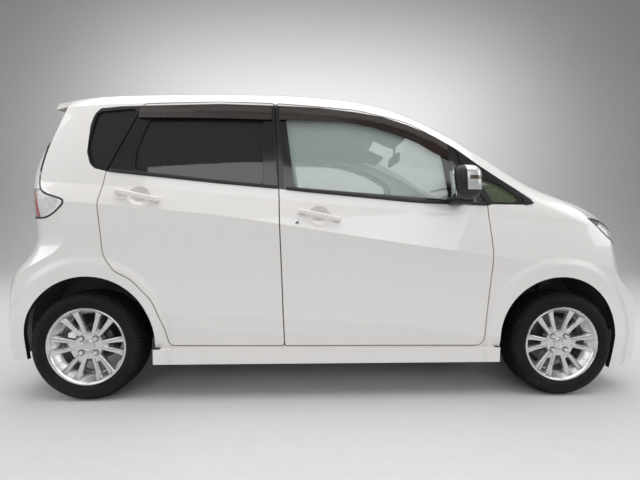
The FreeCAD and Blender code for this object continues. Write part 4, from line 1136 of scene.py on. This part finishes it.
class CAR_OT_wheel_parts(PieceOperator, bpy.types.Operator):
    """Wheels with barrel, spokes, nuts, caps and valves, and tyres with tread"""
    bl_idname = "car.wheel_parts"
    bl_label = "Wheels and tyres"

    def tyre(self, blocks):
        """Tyre about the Z axis, with ribs and grooves round it and blocks on its shoulders."""
        half = TYRE_HALF_WIDTH
        side = [
            (0.1785, half - 0.024), (0.1955, half - 0.0165), (0.1985, half - 0.0105),
            (0.206, half - 0.0045), (0.2155, half - 0.0015), (0.2165, half - 0.0025),
            (0.2185, half - 0.0025), (0.2195, half - 0.0008), (0.231, half - 0.0006),
            (0.244, half - 0.003), (0.2535, half - 0.0075), (0.2625, half - 0.0135),
            (0.2685, half - 0.0215), (0.2715, half - 0.031),
        ]
        crown = [
            (0.2725, 0.0365), (0.2725, 0.0295), (0.2655, 0.0285), (0.2655, 0.0235), (0.2728, 0.0225),
            (0.2729, 0.0045), (0.266, 0.0038),
        ]
        inner = [
            (0.259, 0.036), (0.245, half - 0.02), (0.215, half - 0.008), (0.1958, half - 0.021),
            (0.1786, half - 0.027),
        ]
        upper = side + crown
        outline = upper + [(r, -z) for r, z in reversed(upper)]
        outline += [(r, -z) for r, z in reversed(inner)] + inner
        form = turned(outline, blocks * 2)
        ribs = []
        for face in form.faces:
            centre = face.calc_center_median()
            radius = math.hypot(centre.x, centre.y)
            turn = math.atan2(centre.y, centre.x) / (2 * math.pi) * blocks * 2
            middle_band = radius > 0.2715 and abs(centre.z) < 0.036
            outward = face.normal.dot(centre) > 0
            shoulder = radius > 0.257 and 0.038 < abs(centre.z) < half - 0.009 and outward
            if math.floor(turn + 0.5) % 2 == 0 and (middle_band or shoulder):
                ribs.append(face)
        bmesh.ops.inset_individual(form, faces=ribs, thickness=0.0007, depth=-0.0035, use_even_offset=True)
        return form

    def barrel(self):
        """Rim of the wheel with its lips, seats and well, and the hub that carries the spokes."""
        rim = turned((
            (0.1785, 0.0555), (0.1835, 0.066), (0.1875, 0.0697), (0.1915, 0.0697), (0.1948, 0.067),
            (0.1948, 0.0632), (0.1905, 0.0615), (0.1842, 0.056), (0.1778, 0.054), (0.1778, 0.032),
            (0.1638, 0.022), (0.1638, -0.014), (0.1778, -0.034), (0.1778, -0.056), (0.1948, -0.063),
            (0.1948, -0.068), (0.19, -0.0697), (0.171, -0.0535), (0.171, -0.036), (0.158, -0.016),
            (0.158, 0.02), (0.17, 0.034)), 96)
        hub = turned((
            (0.0, 0.0445), (0.03, 0.0445), (0.036, 0.046), (0.06, 0.0468), (0.067, 0.0455), (0.0705, 0.04),
            (0.0715, 0.02), (0.066, 0.004), (0.0, 0.004)), 60)
        return joined([rim, hub])

    def spoke(self, side):
        """One of the two spokes of a pair, beside the wheel's local X axis."""
        form = bmesh.new()
        stations = []
        for r, middle, half, face, depth in (
            (0.05, 0.0105, 0.0105, 0.0462, 0.03), (0.066, 0.013, 0.0105, 0.0468, 0.03),
            (0.085, 0.0175, 0.0108, 0.0472, 0.026), (0.11, 0.0225, 0.0115, 0.0488, 0.022),
            (0.135, 0.0272, 0.0125, 0.0515, 0.02), (0.158, 0.0315, 0.0138, 0.0548, 0.02),
            (0.1735, 0.0345, 0.016, 0.0578, 0.021), (0.1785, 0.036, 0.0185, 0.0592, 0.022),
        ):
            x = math.sqrt(r * r - middle * middle)
            section = (
                (-half * 1.06, -depth), (-half, -0.005), (-half + 0.0028, -0.0014), (-half * 0.2, 0.0),
                (half * 0.55, -0.0012), (half - 0.0012, -0.0035), (half, -0.0065), (half * 1.06, -depth),
            )
            corners = [(x, side * (middle + across), face + drop) for across, drop in section]
            stations.append([form.verts.new(corner) for corner in corners])
        return lofted(form, stations)

    def rim(self):
        """Barrel and hub with the pairs of spokes and the web inside each pair."""
        forms = [self.barrel()]
        for i in range(SPOKE_PAIRS):
            turn = at((0, 0, 0), 360 / SPOKE_PAIRS * i)
            forms += [moved(self.spoke(side), turn) for side in (-1, 1)]
            forms.append(moved(brick((0.05, 0.03, 0.018), (0.07, 0, 0.034), 0.004), turn))
        return joined(forms)

    def nut_spots(self):
        """Matrices that move to the nuts' places."""
        angles = [math.radians(NUT_TURN + 360 / NUT_COUNT * i) for i in range(NUT_COUNT)]
        return [at((NUT_CIRCLE * math.cos(angle), NUT_CIRCLE * math.sin(angle), 0)) for angle in angles]

    def shade_rings(self):
        """Dark rings round the wheel nuts, painted shade that stands in for the shadowed recess each nut sits
        in.
        """
        outline = ((0.0112, 0.0445), (0.0112, 0.0474), (0.0132, 0.0478), (0.0155, 0.0474), (0.0155, 0.0445))
        return joined([moved(turned(outline, 28), spot) for spot in self.nut_spots()])

    def nuts(self):
        """Six-sided wheel nuts with their washers."""
        forms = []
        for spot in self.nut_spots():
            nut = bmesh.new()
            bmesh.ops.create_cone(
                nut, cap_ends=True, segments=6, radius1=0.0098, radius2=0.0098, depth=0.019,
                matrix=at((0, 0, 0.0465)))
            soften(nut, 0.0018, 3)
            washer = turned(((0.006, 0.042), (0.0112, 0.042), (0.0108, 0.0475), (0.006, 0.049)), 20)
            forms += [moved(nut, spot), moved(washer, spot)]
        return joined(forms)

    def execute(self, context):
        blocks = context.scene.car_sizes.tread_blocks
        for name, side in WHEELS:
            body = "%s_wheel_%s" % tuple(name.split("_"))
            low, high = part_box("alloy_wheel_" + name)
            stand = at((low + high) / 2, -90 * side, "X")
            tread = moved(self.tyre(blocks), stand)
            tyre = finish_piece("tread_tyre_" + name, tread, body, tyre_rubber(), 32)
            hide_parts("tyre_" + name)
            rim = finish_piece("cast_wheel_" + name, moved(self.rim(), stand), body, alloy(), 40)
            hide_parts("alloy_wheel_" + name)
            # Painted shade: a gloss black ring round each nut stands in for the shadow in the recess the nut
            # sits in.
            finish_piece("nut_shade_rings_" + name, moved(self.shade_rings(), stand), body, gloss_black())
            finish_piece("wheel_nuts_" + name, moved(self.nuts(), stand), body, bright_metal())
            cap = turned((
                (0.0, 0.0505), (0.012, 0.0508), (0.0185, 0.0502), (0.0195, 0.0494), (0.0208, 0.0494),
                (0.0222, 0.0512), (0.0262, 0.0505), (0.0285, 0.0475), (0.0285, 0.044), (0.0, 0.044)), 48)
            finish_piece("hub_cap_" + name, moved(cap, stand), body, alloy())
            valve = turned((
                (0.0, 0.0), (0.0045, 0.0), (0.0042, 0.018), (0.003, 0.02), (0.003, 0.03), (0.0, 0.031)), 14)
            moved(valve, at((0.15, 0.0, 0.036), -35, "Y"))
            finish_piece("valve_" + name, moved(valve, stand @ at((0, 0, 0), 60)), body, rubber())
        return {"FINISHED"}


class CAR_OT_door_mirrors(PieceOperator, bpy.types.Operator):
    """Door mirrors: bright cover, lamp strip, black rear rim and foot, and the glass"""
    bl_idname = "car.door_mirrors"
    bl_label = "Door mirrors"

    def slant(self, spot):
        """How far the rear rim and the glass stand ahead of their middle: they face the driver and lean."""
        return 0.25 * (spot.y - MIRROR_MIDDLE.y) - 0.15 * (spot.z - MIRROR_MIDDLE.z)

    def shell(self):
        """Rounded housing on the right side, drawn in below and slanted at its rear."""
        form = brick((0.116, 0.152, 0.158), MIRROR_MIDDLE, 0.044, 6)
        for vert in form.verts:
            low = max(0.0, (1.05 - vert.co.z) / 0.04)
            vert.co.y += 0.022 * min(low, 1.0) * (1 if vert.co.y < -0.83 else 0)
            if vert.co.x < 0.6:
                vert.co.x += self.slant(vert.co)
            else:
                vert.co.x -= 0.06 * (vert.co.z - MIRROR_MIDDLE.z)
        return form

    def execute(self, context):
        split = Vector((0.574, 0, MIRROR_MIDDLE.z))
        lean = Vector((1, 0, 0.06))
        up = Vector((0, 0, 1))

        def cover():
            form = halved(self.shell(), split, -lean)
            return halved(form, 1.052 * up, -up)

        def rim():
            form = halved(self.shell(), split - Vector((0.001, 0, 0)), lean)
            low = halved(halved(self.shell(), split, -lean), 1.0505 * up, up)
            foot = brick((0.08, 0.155, 0.044), (0.612, -0.742, 1.014), 0.015, 3)
            return joined([form, shrunk(low, 0.985, (0, 0, 0)), foot])

        def stripe():
            form = shrunk(self.shell(), 1.012, (0, 0, 0))
            form = halved(form, 1.116 * up, up)
            form = halved(form, 1.099 * up, -up)
            return halved(form, split + Vector((0.012, 0, 0)), -lean)

        def glass():
            form = brick((0.004, 0.108, 0.112), (0.539, -0.824, 1.09), 0.0018)
            sharp = []
            for edge in form.edges:
                run = edge.verts[0].co - edge.verts[1].co
                if abs(run.normalized().x) > 0.9:
                    sharp.append(edge)
            bmesh.ops.bevel(
                form, geom=sharp, offset=0.02, segments=5, profile=0.5, affect="EDGES", material=-1)
            for vert in form.verts:
                vert.co.x += self.slant(vert.co)
            return form

        body = "front_door_%s"
        satin = plain("pale_satin", (0.72, 0.72, 0.72), 0.2, metallic=0.35, coat=1.0)
        smoke = plain("lamp_smoke", (0.1, 0.07, 0.05), 0.08, coat=1.0)
        silver = plain("mirror_silver", (0.75, 0.77, 0.8), 0.02, metallic=1.0, change=0.02)
        covers = on_both_sides("mirror_cover", cover, body, satin)
        for piece, (word, _) in zip(covers, SIDES):
            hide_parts("door_mirror_" + word)
        on_both_sides("mirror_rim", rim, body, trim_black())
        on_both_sides("mirror_lamp", stripe, body, smoke)
        on_both_sides("mirror_glass", glass, body, silver)
        return {"FINISHED"}


class CAR_OT_door_locks(PieceOperator, bpy.types.Operator):
    """Lock cylinders of the front doors"""
    bl_idname = "car.door_locks"
    bl_label = "Door locks"

    def execute(self, context):
        skin = side_surface(-260, -60, 850, 1000, 3)
        x, z = place(-171, 899)

        def lock():
            collar = turned((
                (0.0, 0.004), (0.0085, 0.004), (0.0115, 0.0015), (0.0125, -0.003), (0.0, -0.003)), 28)
            slot = brick((0.0022, 0.011, 0.002), (0, 0, 0.0042), 0.0004, 1)
            return moved(joined([collar, slot]), at((x, skin(x, z), z), 90, "X"))

        on_both_sides("door_lock", lock, "front_door_%s", bright_metal())
        return {"FINISHED"}


class CAR_OT_headlamps(PieceOperator, bpy.types.Operator):
    """Clear headlamps with reflector, dark brow, projector and turn lamp"""
    bl_idname = "car.headlamps"
    bl_label = "Headlamps"

    def execute(self, context):
        lens = finish_piece("headlamp_lens", cad_copy("headlamps"), "body", clear_lens(), 30)
        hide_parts("headlamps")
        skin = surface_of(("headlamps",), "front", (0.44, 0.62, 0.79, 0.88), (1.2, 1.72), 3)
        amber = plain("amber", (0.75, 0.28, 0.03), 0.1, coat=1.0)
        for word, side in SIDES:
            bowl = lamp_insert("headlamps", side, 0.93, (-0.007, 0.006, 0.0))
            finish_piece("headlamp_bowl_" + word, bowl, "body", lamp_inside(), 30)
            brow = lamp_insert("headlamps", side, 0.95, (-0.005, 0.005, 0.002))
            brow = halved(brow, Vector((1.40, 0, 0.902)), Vector((0.62, 0, -1)))
            finish_piece("headlamp_brow_" + word, brow, "body", trim_black(), 30)
            for name, y, z, radius, finish in (
                ("projector", 0.52, 0.842, 0.03, bright_metal()), ("turn_lamp", 0.6, 0.862, 0.017, amber),
            ):
                bulb = turned((
                    (0.0, 0.0), (radius * 0.5, -0.001), (radius * 0.8, -0.004), (radius, -0.008),
                    (radius * 1.12, -0.004), (radius * 1.12, -0.02), (0.0, -0.02)), 36)
                moved(bulb, at((skin(y, z) - 0.012, side * y, z), 90, "Y"))
                finish_piece("%s_%s" % (name, word), bulb, "body", finish)
        nodes = ("headlamps", "fender_right", "front_bumper")
        for name, points in (("headlamp_gasket", HEADLAMP_EDGE), ("headlamp_top_line", HEADLAMP_TOP)):
            on_both_sides(
                name, lambda: line_on(points, 0.005, nodes), "body", rubber(), 60.0)
        return {"FINISHED"}


class CAR_OT_tail_lamps(PieceOperator, bpy.types.Operator):
    """Tail lamps with bright reflector and red strip, and the tailgate's shut line round them"""
    bl_idname = "car.tail_lamps"
    bl_label = "Tail lamps"

    def execute(self, context):
        lens = finish_piece("tail_lamp_lens", cad_copy("tail_lamps"), "body", clear_lens(), 30)
        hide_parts("tail_lamps")
        split = Vector((place(-1462, 0)[0], 0, 0.985))
        lean = Vector((1, 0, 0.25))
        for word, side in SIDES:
            for name, finish, slot, normal in (
                ("tail_lamp_bowl", lamp_inside(), "lamp_clear", -lean),
                ("tail_lamp_red", lamp_red(), "lamp_red", lean),
            ):
                form = lamp_insert("tail_lamps", side, 0.95, (0.003, 0.004, 0.0))
                finish_piece("%s_%s" % (name, word), halved(form, split, normal), "body", finish, 30)
        nodes = ("side_frame_right", "tail_lamps", "roof_panel", "tailgate", "rear_bumper")
        on_both_sides(
            "tailgate_shut_line", lambda: line_on(REAR_SHUT_LINE, 0.009, nodes), "body", rubber(),
            60.0)
        return {"FINISHED"}


class CAR_OT_front_end(PieceOperator, bpy.types.Operator):
    """Grille bars and mesh, blank plate, fog lamps and wipers"""
    bl_idname = "car.front_end"
    bl_label = "Front end"

    def grille(self, nose):
        """Level bars and, behind them, the uprights of the intake and of the upper slot."""
        bars = []
        for z, half, depth, height, sink in (
            (0.261, 0.326, 0.014, 0.009, 0.016), (0.287, 0.326, 0.014, 0.009, 0.016),
            (0.313, 0.326, 0.014, 0.009, 0.016), (0.721, 0.286, 0.01, 0.008, 0.012),
        ):
            form = long_bar((depth, half * 2, height), height * 0.35, 15)
            for vert in form.verts:
                vert.co.x += nose(vert.co.y, z) - sink
                vert.co.z += z
            bars.append(form)
        finish_piece("grille_bars", joined(bars), "body", trim_black())
        posts = []
        for i in range(-12, 13):
            y = i * 0.025
            for z, height, sink, reach in ((0.2875, 0.1, 0.02, 0.32), (0.721, 0.036, 0.016, 0.28)):
                if abs(y) < reach:
                    posts.append(brick((0.006, 0.004, height), (nose(y, z) - sink, y, z), 0.001, 1))
        finish_piece("grille_mesh", joined(posts), "body", trim_black())

    def fog_lamps(self, nose):
        """Round lamps that face along the bumper's slope, each in a dark ring laid on the bumper."""
        x, z = nose(LAMP_OFFSET, FOG_LAMP_HEIGHT), FOG_LAMP_HEIGHT
        slope = slope_at(nose, LAMP_OFFSET, z)
        radius = 57
        for word, side in SIDES:
            lamp = turned((
                (0.0, -0.004), (0.03, -0.006), (0.036, -0.01), (0.041, 0.001), (0.046, -0.001),
                (0.05, -0.012), (0.0, -0.016)), 40)
            facing = Vector((1, -side * slope, 0)).to_track_quat("Z", "Y").to_matrix().to_4x4()
            moved(lamp, at((x + 0.006, side * LAMP_OFFSET, z)) @ facing)
            finish_piece("fog_lamp_" + word, lamp, "body", lamp_inside())
            ring = []
            for i in range(49):
                turn = math.radians(7.5 * i)
                across = side * LAMP_OFFSET * 1000 + radius * math.cos(turn)
                ring.append((across, z * 1000 + radius * math.sin(turn)))
            bezel = line_on(ring, 0.014, ("front_bumper",), "front", 0.003)
            finish_piece("fog_lamp_bezel_" + word, bezel, "body", trim_black(), 60.0)

    def wipers(self):
        """Blade and arm of both wipers, which follow the windscreen, and the hubs they turn on."""
        screen = surface_of(("windscreen", "cowl_panel"), "top", (0.72, 1.03, -0.5, 0.5), (0.95, 1.4), 4)
        hub_place = 1.012
        for name, pivot, tip in (("right", -0.36, 0.18), ("left", 0.12, 0.49)):
            forms = []
            for lift, width, start, end, x_start, x_end in (
                (0.009, 0.012, pivot + 0.02, tip, 0.985, 0.93),
                (0.017, 0.014, pivot, (pivot + tip) / 2 + 0.03, hub_place, 0.955),
            ):
                form = long_bar((width, 1.0, 0.008), 0.0025, 11)
                for vert in form.verts:
                    share = vert.co.y + 0.5
                    y = start + (end - start) * share
                    x = x_start + (x_end - x_start) * share + vert.co.x
                    vert.co = Vector((x, y, screen(x, y) + lift + vert.co.z))
                forms.append(form)
            forms.append(moved(wiper_hub(0.016), at((hub_place, pivot, screen(hub_place, pivot)))))
            finish_piece("front_wiper_" + name, joined(forms), "body", trim_black())

    def execute(self, context):
        nose = surface_of(("front_bumper",), "front", (-0.6, 0.6, 0.16, 0.8), (1.4, 1.75), 6)
        self.grille(nose)
        face = nose(0, FRONT_PLATE_HEIGHT) + 0.0095
        plate("front_plate", "body", FRONT_PLATE_HEIGHT, face, 0.014, face - 0.0075, 0.002)
        self.fog_lamps(nose)
        self.wipers()
        return {"FINISHED"}


class CAR_OT_rear_end(PieceOperator, bpy.types.Operator):
    """Tailgate pane, blank plate, handle strip, stop lamp, reflectors, wiper and exhaust tip"""
    bl_idname = "car.rear_end"
    bl_label = "Rear end"

    def wiper(self, glass):
        """Wiper that rests low on the tailgate's glass."""
        pivot, reach = (-0.03, 1.14), (0.12, 1.18)
        blade = brick((0.008, 0.36, 0.012), (glass(0.1, 1.18) - 0.008, 0.1, 1.18), 0.0025)
        arm = rod((glass(*pivot) - 0.016, *pivot), (glass(*reach) - 0.016, *reach), 0.006)
        hub = moved(wiper_hub(0.017), at((glass(*pivot), *pivot), -90, "Y"))
        finish_piece("rear_wiper", joined([blade, arm, hub]), "tailgate", trim_black())

    def reflectors(self):
        """Red reflectors that follow the bumper's slope."""
        tail = surface_of(("rear_bumper",), "rear", (-0.62, 0.62, 0.3, 0.7), (-1.75, -1.3), 5)
        z = REFLECTOR_HEIGHT
        slope = slope_at(tail, LAMP_OFFSET, z)
        for word, side in SIDES:
            facing = at((tail(LAMP_OFFSET, z), side * LAMP_OFFSET, z), -side * math.degrees(math.atan(slope)))
            form = moved(brick((0.006, 0.11, 0.032), (0, 0, 0), 0.0025), facing)
            finish_piece("rear_reflector_" + word, form, "body", lamp_red())

    def execute(self, context):
        gate = surface_of(("tailgate",), "rear", (-0.4, 0.4, 0.77, 1.08), (-1.75, -1.4), 4)
        glass = surface_of(("tailgate_glass",), "rear", (-0.55, 0.55, 1.135, 1.475), (-1.7, -1.2), 4)
        pane = rear_pane(REAR_GLASS_HALF, *REAR_GLASS_HEIGHTS, glass, 0.005)
        pane = finish_piece("tailgate_pane", pane, "tailgate", dark_glass(), 60)
        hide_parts("tailgate_glass")
        face = gate(0, 0.8) - 0.005
        plate("rear_plate", "tailgate", REAR_PLATE_HEIGHT, face, 0.02, face + 0.0105, 0.003)
        foot = line_on([(y, 765) for y in range(-560, 561, 40)], 0.006, ("tailgate",), "rear")
        finish_piece("tailgate_foot_line", foot, "tailgate", rubber(), 60.0)
        strip = brick((0.026, 0.46, 0.034), (gate(0, 0.972) - 0.004, 0, 0.972), 0.008, 3)
        finish_piece("handle_strip", strip, "tailgate", bright_metal())
        self.reflectors()
        stop = brick((0.012, 0.2, 0.014), (-1.432, 0, 1.506), 0.003)
        finish_piece("high_stop_lamp", stop, "tailgate", lamp_red())
        self.wiper(glass)
        tip = turned(((0.024, 0.0), (0.0255, 0.004), (0.0255, 0.085), (0.0225, 0.085), (0.0225, 0.0)), 36)
        moved(tip, at((-1.645, -0.24, 0.262), 90, "Y"))
        finish_piece("exhaust_tip", tip, "body", bright_metal())
        return {"FINISHED"}


class CAR_OT_seats(PieceOperator, bpy.types.Operator):
    """Front seats and rear bench with crowned, seamed cushions"""
    bl_idname = "car.seats"
    bl_label = "Seats"

    def stuffed(self, name, form, hides=()):
        """Padded piece in seat cloth, which stands for the CAD nodes it hides."""
        piece = finish_piece(name, form, "body", seat_cloth(), 60)
        rounding = piece.modifiers.new("rounding", "SUBSURF")
        rounding.levels = rounding.render_levels = 1
        for node in hides:
            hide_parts(node)
        return piece

    def posts(self, name, foot, head, y, spread):
        """Two bright posts of a headrest, a spread to either side of a place across the car."""
        forms = []
        for d in (-spread, spread):
            forms.append(rod((foot[0], y + d, foot[1]), (head[0], y + d, head[1]), 0.006))
        finish_piece(name, joined(forms), "body", bright_metal())

    def execute(self, context):
        def seat_shape(x, y, z):
            if z <= 0.6:
                return (0, 0, 0)
            bolster = 0.22 * max(0.0, (abs(y) - 0.62) / 0.38)
            cross = 0.08 * seam(x - 0.15, 0.05) * (abs(y) < 0.6)
            return (0, 0, bolster - 0.13 * seam(abs(y) - 0.6, 0.05) - cross)

        def back_shape(x, y, z):
            if x <= 0.6:
                return (0, 0, 0)
            bolster = 0.3 * max(0.0, (abs(y) - 0.6) / 0.4) * (z < 0.7)
            cross = 0.1 * seam(z - 0.1, 0.04) * (abs(y) < 0.58)
            return (bolster - 0.16 * seam(abs(y) - 0.58, 0.05) - cross, 0, 0)

        def bench_shape(x, y, z):
            return (0, 0, -0.18 * seam(y, 0.02) if z > 0.6 else 0)

        def bench_back_shape(x, y, z):
            return (-0.18 * seam(y, 0.02) if x > 0.6 else 0, 0, 0)

        for word, side in SIDES:
            y = side * FRONT_SEAT_OFFSET
            hides = ("front_seats",) if side < 0 else ()
            cushion = pad((0.55, 0.49, 0.17), (0.075, y, 0.372), -4, 0.4, seat_shape, 17)
            self.stuffed("seat_cushion_" + word, cushion, hides)
            back = pad((0.14, 0.47, 0.68), (-0.29, y, 0.745), -15.5, 0.42, back_shape, 17)
            self.stuffed("seat_back_" + word, back)
            self.stuffed("headrest_" + word, pad((0.1, 0.26, 0.16), (-0.385, y, 1.165), -12, 0.5))
            self.posts("headrest_posts_" + word, (-0.372, 1.04), (-0.383, 1.12), y, 0.06)
            rails = [brick((0.52, 0.03, 0.07), (0.03, y + d, 0.27), 0.008) for d in (-0.18, 0.18)]
            finish_piece("seat_rails_" + word, joined(rails), "body", trim_black())
        bench = pad((0.46, 0.93, 0.15), (-0.71, 0, 0.425), -3, 0.3, bench_shape, 25)
        self.stuffed("bench_cushion", bench, ("rear_bench",))
        bench_back = pad((0.13, 0.93, 0.6), (-1.012, 0, 0.73), -17.5, 0.3, bench_back_shape, 25)
        self.stuffed("bench_back", bench_back)
        for word, side in SIDES:
            y = side * REAR_HEADREST_OFFSET
            self.stuffed("rear_headrest_" + word, pad((0.09, 0.24, 0.13), (-1.115, y, 1.08), -15, 0.5))
            self.posts("rear_headrest_posts_" + word, (-1.1, 0.99), (-1.112, 1.05), y, 0.05)
        return {"FINISHED"}


class CAR_OT_cabin_parts(PieceOperator, bpy.types.Operator):
    """Instrument hood, vents, blank screen, gear lever, steering pad and door pulls"""
    bl_idname = "car.cabin_parts"
    bl_label = "Cabin parts"

    def execute(self, context):
        hood = pad((0.2, 0.34, 0.11), (0.655, -FRONT_SEAT_OFFSET, 1.0), 8, 0.5)
        finish_piece("instrument_hood", hood, "body", dash_plastic())
        dials = []
        for y in (-0.39, -0.27):
            dial = turned((
                (0.0, 0.0), (0.045, 0.0), (0.05, 0.004), (0.052, 0.0), (0.052, -0.01), (0.0, -0.01)), 40)
            dials.append(moved(dial, at((0.556, y, 0.99), -70, "Y")))
        finish_piece("dials", joined(dials), "body", gloss_black())
        vents = []
        for y in (-0.57, -0.09, 0.09, 0.57):
            vents.append(brick((0.02, 0.085, 0.06), (0.582, y, 0.895), 0.012, 3))
            for i in range(4):
                vents.append(brick((0.012, 0.07, 0.004), (0.572, y, 0.878 + 0.0115 * i), 0.001, 1))
        finish_piece("air_vents", joined(vents), "body", trim_black())
        screen = brick((0.014, 0.2, 0.12), (0.6, 0, 0.815), 0.006, 3)
        finish_piece("blank_screen", screen, "body", gloss_black())
        lever = joined([
            rod((0.6, 0.05, 0.7), (0.54, 0.05, 0.745), 0.007),
            pad((0.04, 0.045, 0.06), (0.535, 0.05, 0.752), 20, 0.6, cuts=5),
        ])
        finish_piece("gear_lever", lever, "body", gloss_black())
        horn = pad((0.05, 0.17, 0.13), (-0.012, 0, 0), 0, 0.55, cuts=7)
        moved(horn, at((0.4425, -FRONT_SEAT_OFFSET, 0.9), 25, "Y"))
        finish_piece("steering_pad", horn, "steering_wheel", dash_plastic())
        for end, x in (("front", 0.32), ("rear", -0.55)):
            on_both_sides(
                end + "_door_pull",
                lambda: pad((0.34, 0.07, 0.06), (x, -0.655, 0.66), 0, 0.35, cuts=7),
                end + "_door_%s", dash_plastic())
        shades = [pad((0.16, 0.34, 0.018), (0.36, side * 0.3, 1.438), 22, 0.25, cuts=7) for _, side in SIDES]
        shade_cloth = plain("shade_cloth", colours().lining, 0.85, grain=0.4)
        finish_piece("sun_shades", joined(shades), "body", shade_cloth)
        return {"FINISHED"}


class CAR_OT_stage(PieceOperator, bpy.types.Operator):
    """Floor, backdrop, soft lights and the camera"""
    bl_idname = "car.stage"
    bl_label = "Stage"

    def floor(self):
        """One sweep: a level floor, a quarter round and an upright backdrop behind the car."""
        form = bmesh.new()
        profile = [(-30.0, 0.0), (4.0, 0.0)]
        for angle in range(10, 91, 10):
            turn = math.radians(angle)
            profile.append((4.0 + 2.0 * math.sin(turn), 2.0 - 2.0 * math.cos(turn)))
        profile.append((6.0, 30.0))
        verts = [form.verts.new((-40.0, y, z)) for y, z in profile]
        edges = [form.edges.new(ends) for ends in zip(verts, verts[1:])]
        swept = bmesh.ops.extrude_edge_only(form, edges=edges)
        far = [item for item in swept["geom"] if isinstance(item, bmesh.types.BMVert)]
        bmesh.ops.translate(form, vec=(80.0, 0, 0), verts=far)
        bmesh.ops.recalc_face_normals(form, faces=form.faces[:])
        mesh = bpy.data.meshes.new("studio_floor")
        form.to_mesh(mesh)
        form.free()
        mesh.shade_smooth()
        floor = bpy.data.objects.new("studio_floor", mesh)
        bpy.context.scene.collection.objects.link(floor)
        mesh.materials.append(plain("studio_grey", (0.7, 0.7, 0.7), 0.5, change=0.03))

    def lights(self, scene):
        """Pale surroundings and five soft panels."""
        world = bpy.data.worlds.new("soft_room")
        world.use_nodes = True
        background = world.node_tree.nodes["Background"]
        background.inputs[0].default_value = (0.95, 0.97, 1.0, 1)
        background.inputs[1].default_value = 0.24
        scene.world = world
        for name, power, size, where, target in (
            ("roof_light", 185, (7.0, 4.0), (0.0, -0.6, 4.2), (0, 0, 0.6)),
            ("side_light", 50, (6.0, 1.6), (0.0, -5.0, 2.6), (0, 0, 0.8)),
            ("rear_light", 40, (2.5, 2.5), (-4.5, -1.5, 2.4), (-1.0, 0, 0.8)),
            ("wall_light", 210, (10.0, 2.5), (0.0, 2.6, 4.6), (0, 6.0, 1.6)),
            ("nose_light", 40, (2.5, 2.5), (4.5, -1.5, 2.4), (1.0, 0, 0.8)),
        ):
            data = bpy.data.lights.new(name, "AREA")
            data.shape = "RECTANGLE"
            data.size, data.size_y = size
            data.energy = power
            lamp = bpy.data.objects.new(name, data)
            lamp.location = where
            lamp.rotation_euler = (Vector(target) - Vector(where)).to_track_quat("-Z", "Y").to_euler()
            scene.collection.objects.link(lamp)

    def camera(self, scene):
        """Camera at the photo's place and angles."""
        yaw, pitch, roll = 0.03873, 0.03676, 0.00717
        spot = Vector((-0.1477, -2.3659, 0.8723))
        ahead = Vector((math.sin(yaw) * math.cos(pitch), math.cos(yaw) * math.cos(pitch), -math.sin(pitch)))
        right = Vector((math.cos(yaw), -math.sin(yaw), 0))
        up = right.cross(ahead)
        across = right * math.cos(roll) + up * math.sin(roll)
        upward = up * math.cos(roll) - right * math.sin(roll)
        turn = Matrix((across, upward, -ahead)).transposed().to_4x4()
        data = bpy.data.cameras.new("photo_camera")
        data.sensor_width = 36.0
        data.lens = 18.495
        camera = bpy.data.objects.new("photo_camera", data)
        camera.matrix_world = Matrix.Translation(spot) @ turn
        scene.collection.objects.link(camera)
        scene.camera = camera

    def execute(self, context):
        self.floor()
        self.lights(context.scene)
        self.camera(context.scene)
        context.scene.view_settings.view_transform = "Standard"
        return {"FINISHED"}


class CAR_PT_panel(bpy.types.Panel):
    """Sizes, colours and pieces of the car"""
    bl_idname = "CAR_PT_panel"
    bl_label = "Car"
    bl_space_type = "VIEW_3D"
    bl_region_type = "UI"
    bl_category = "Car"

    def draw(self, context):
        for settings in (context.scene.car_sizes, context.scene.car_colours):
            for key in settings.__annotations__:
                self.layout.prop(settings, key)
        for operator in OPERATORS:
            self.layout.operator(operator.bl_idname)


OPERATORS = (
    CAR_OT_body_finish, CAR_OT_visors, CAR_OT_mouldings, CAR_OT_wheel_parts, CAR_OT_door_mirrors,
    CAR_OT_door_locks, CAR_OT_headlamps, CAR_OT_tail_lamps, CAR_OT_front_end, CAR_OT_rear_end, CAR_OT_seats,
    CAR_OT_cabin_parts, CAR_OT_stage,
)
CLASSES = (CarColours, CarSizes) + OPERATORS + (CAR_PT_panel,)


def register():
    for item in CLASSES:
        bpy.utils.register_class(item)
    bpy.types.Scene.car_colours = PointerProperty(type=CarColours)
    bpy.types.Scene.car_sizes = PointerProperty(type=CarSizes)


def unregister():
    del bpy.types.Scene.car_sizes
    del bpy.types.Scene.car_colours
    for item in reversed(CLASSES):
        bpy.utils.unregister_class(item)


def main():
    register()
    for operator in OPERATORS:
        section, name = operator.bl_idname.split(".")
        getattr(getattr(bpy.ops, section), name)()


if __name__ == "__main__":
    main()
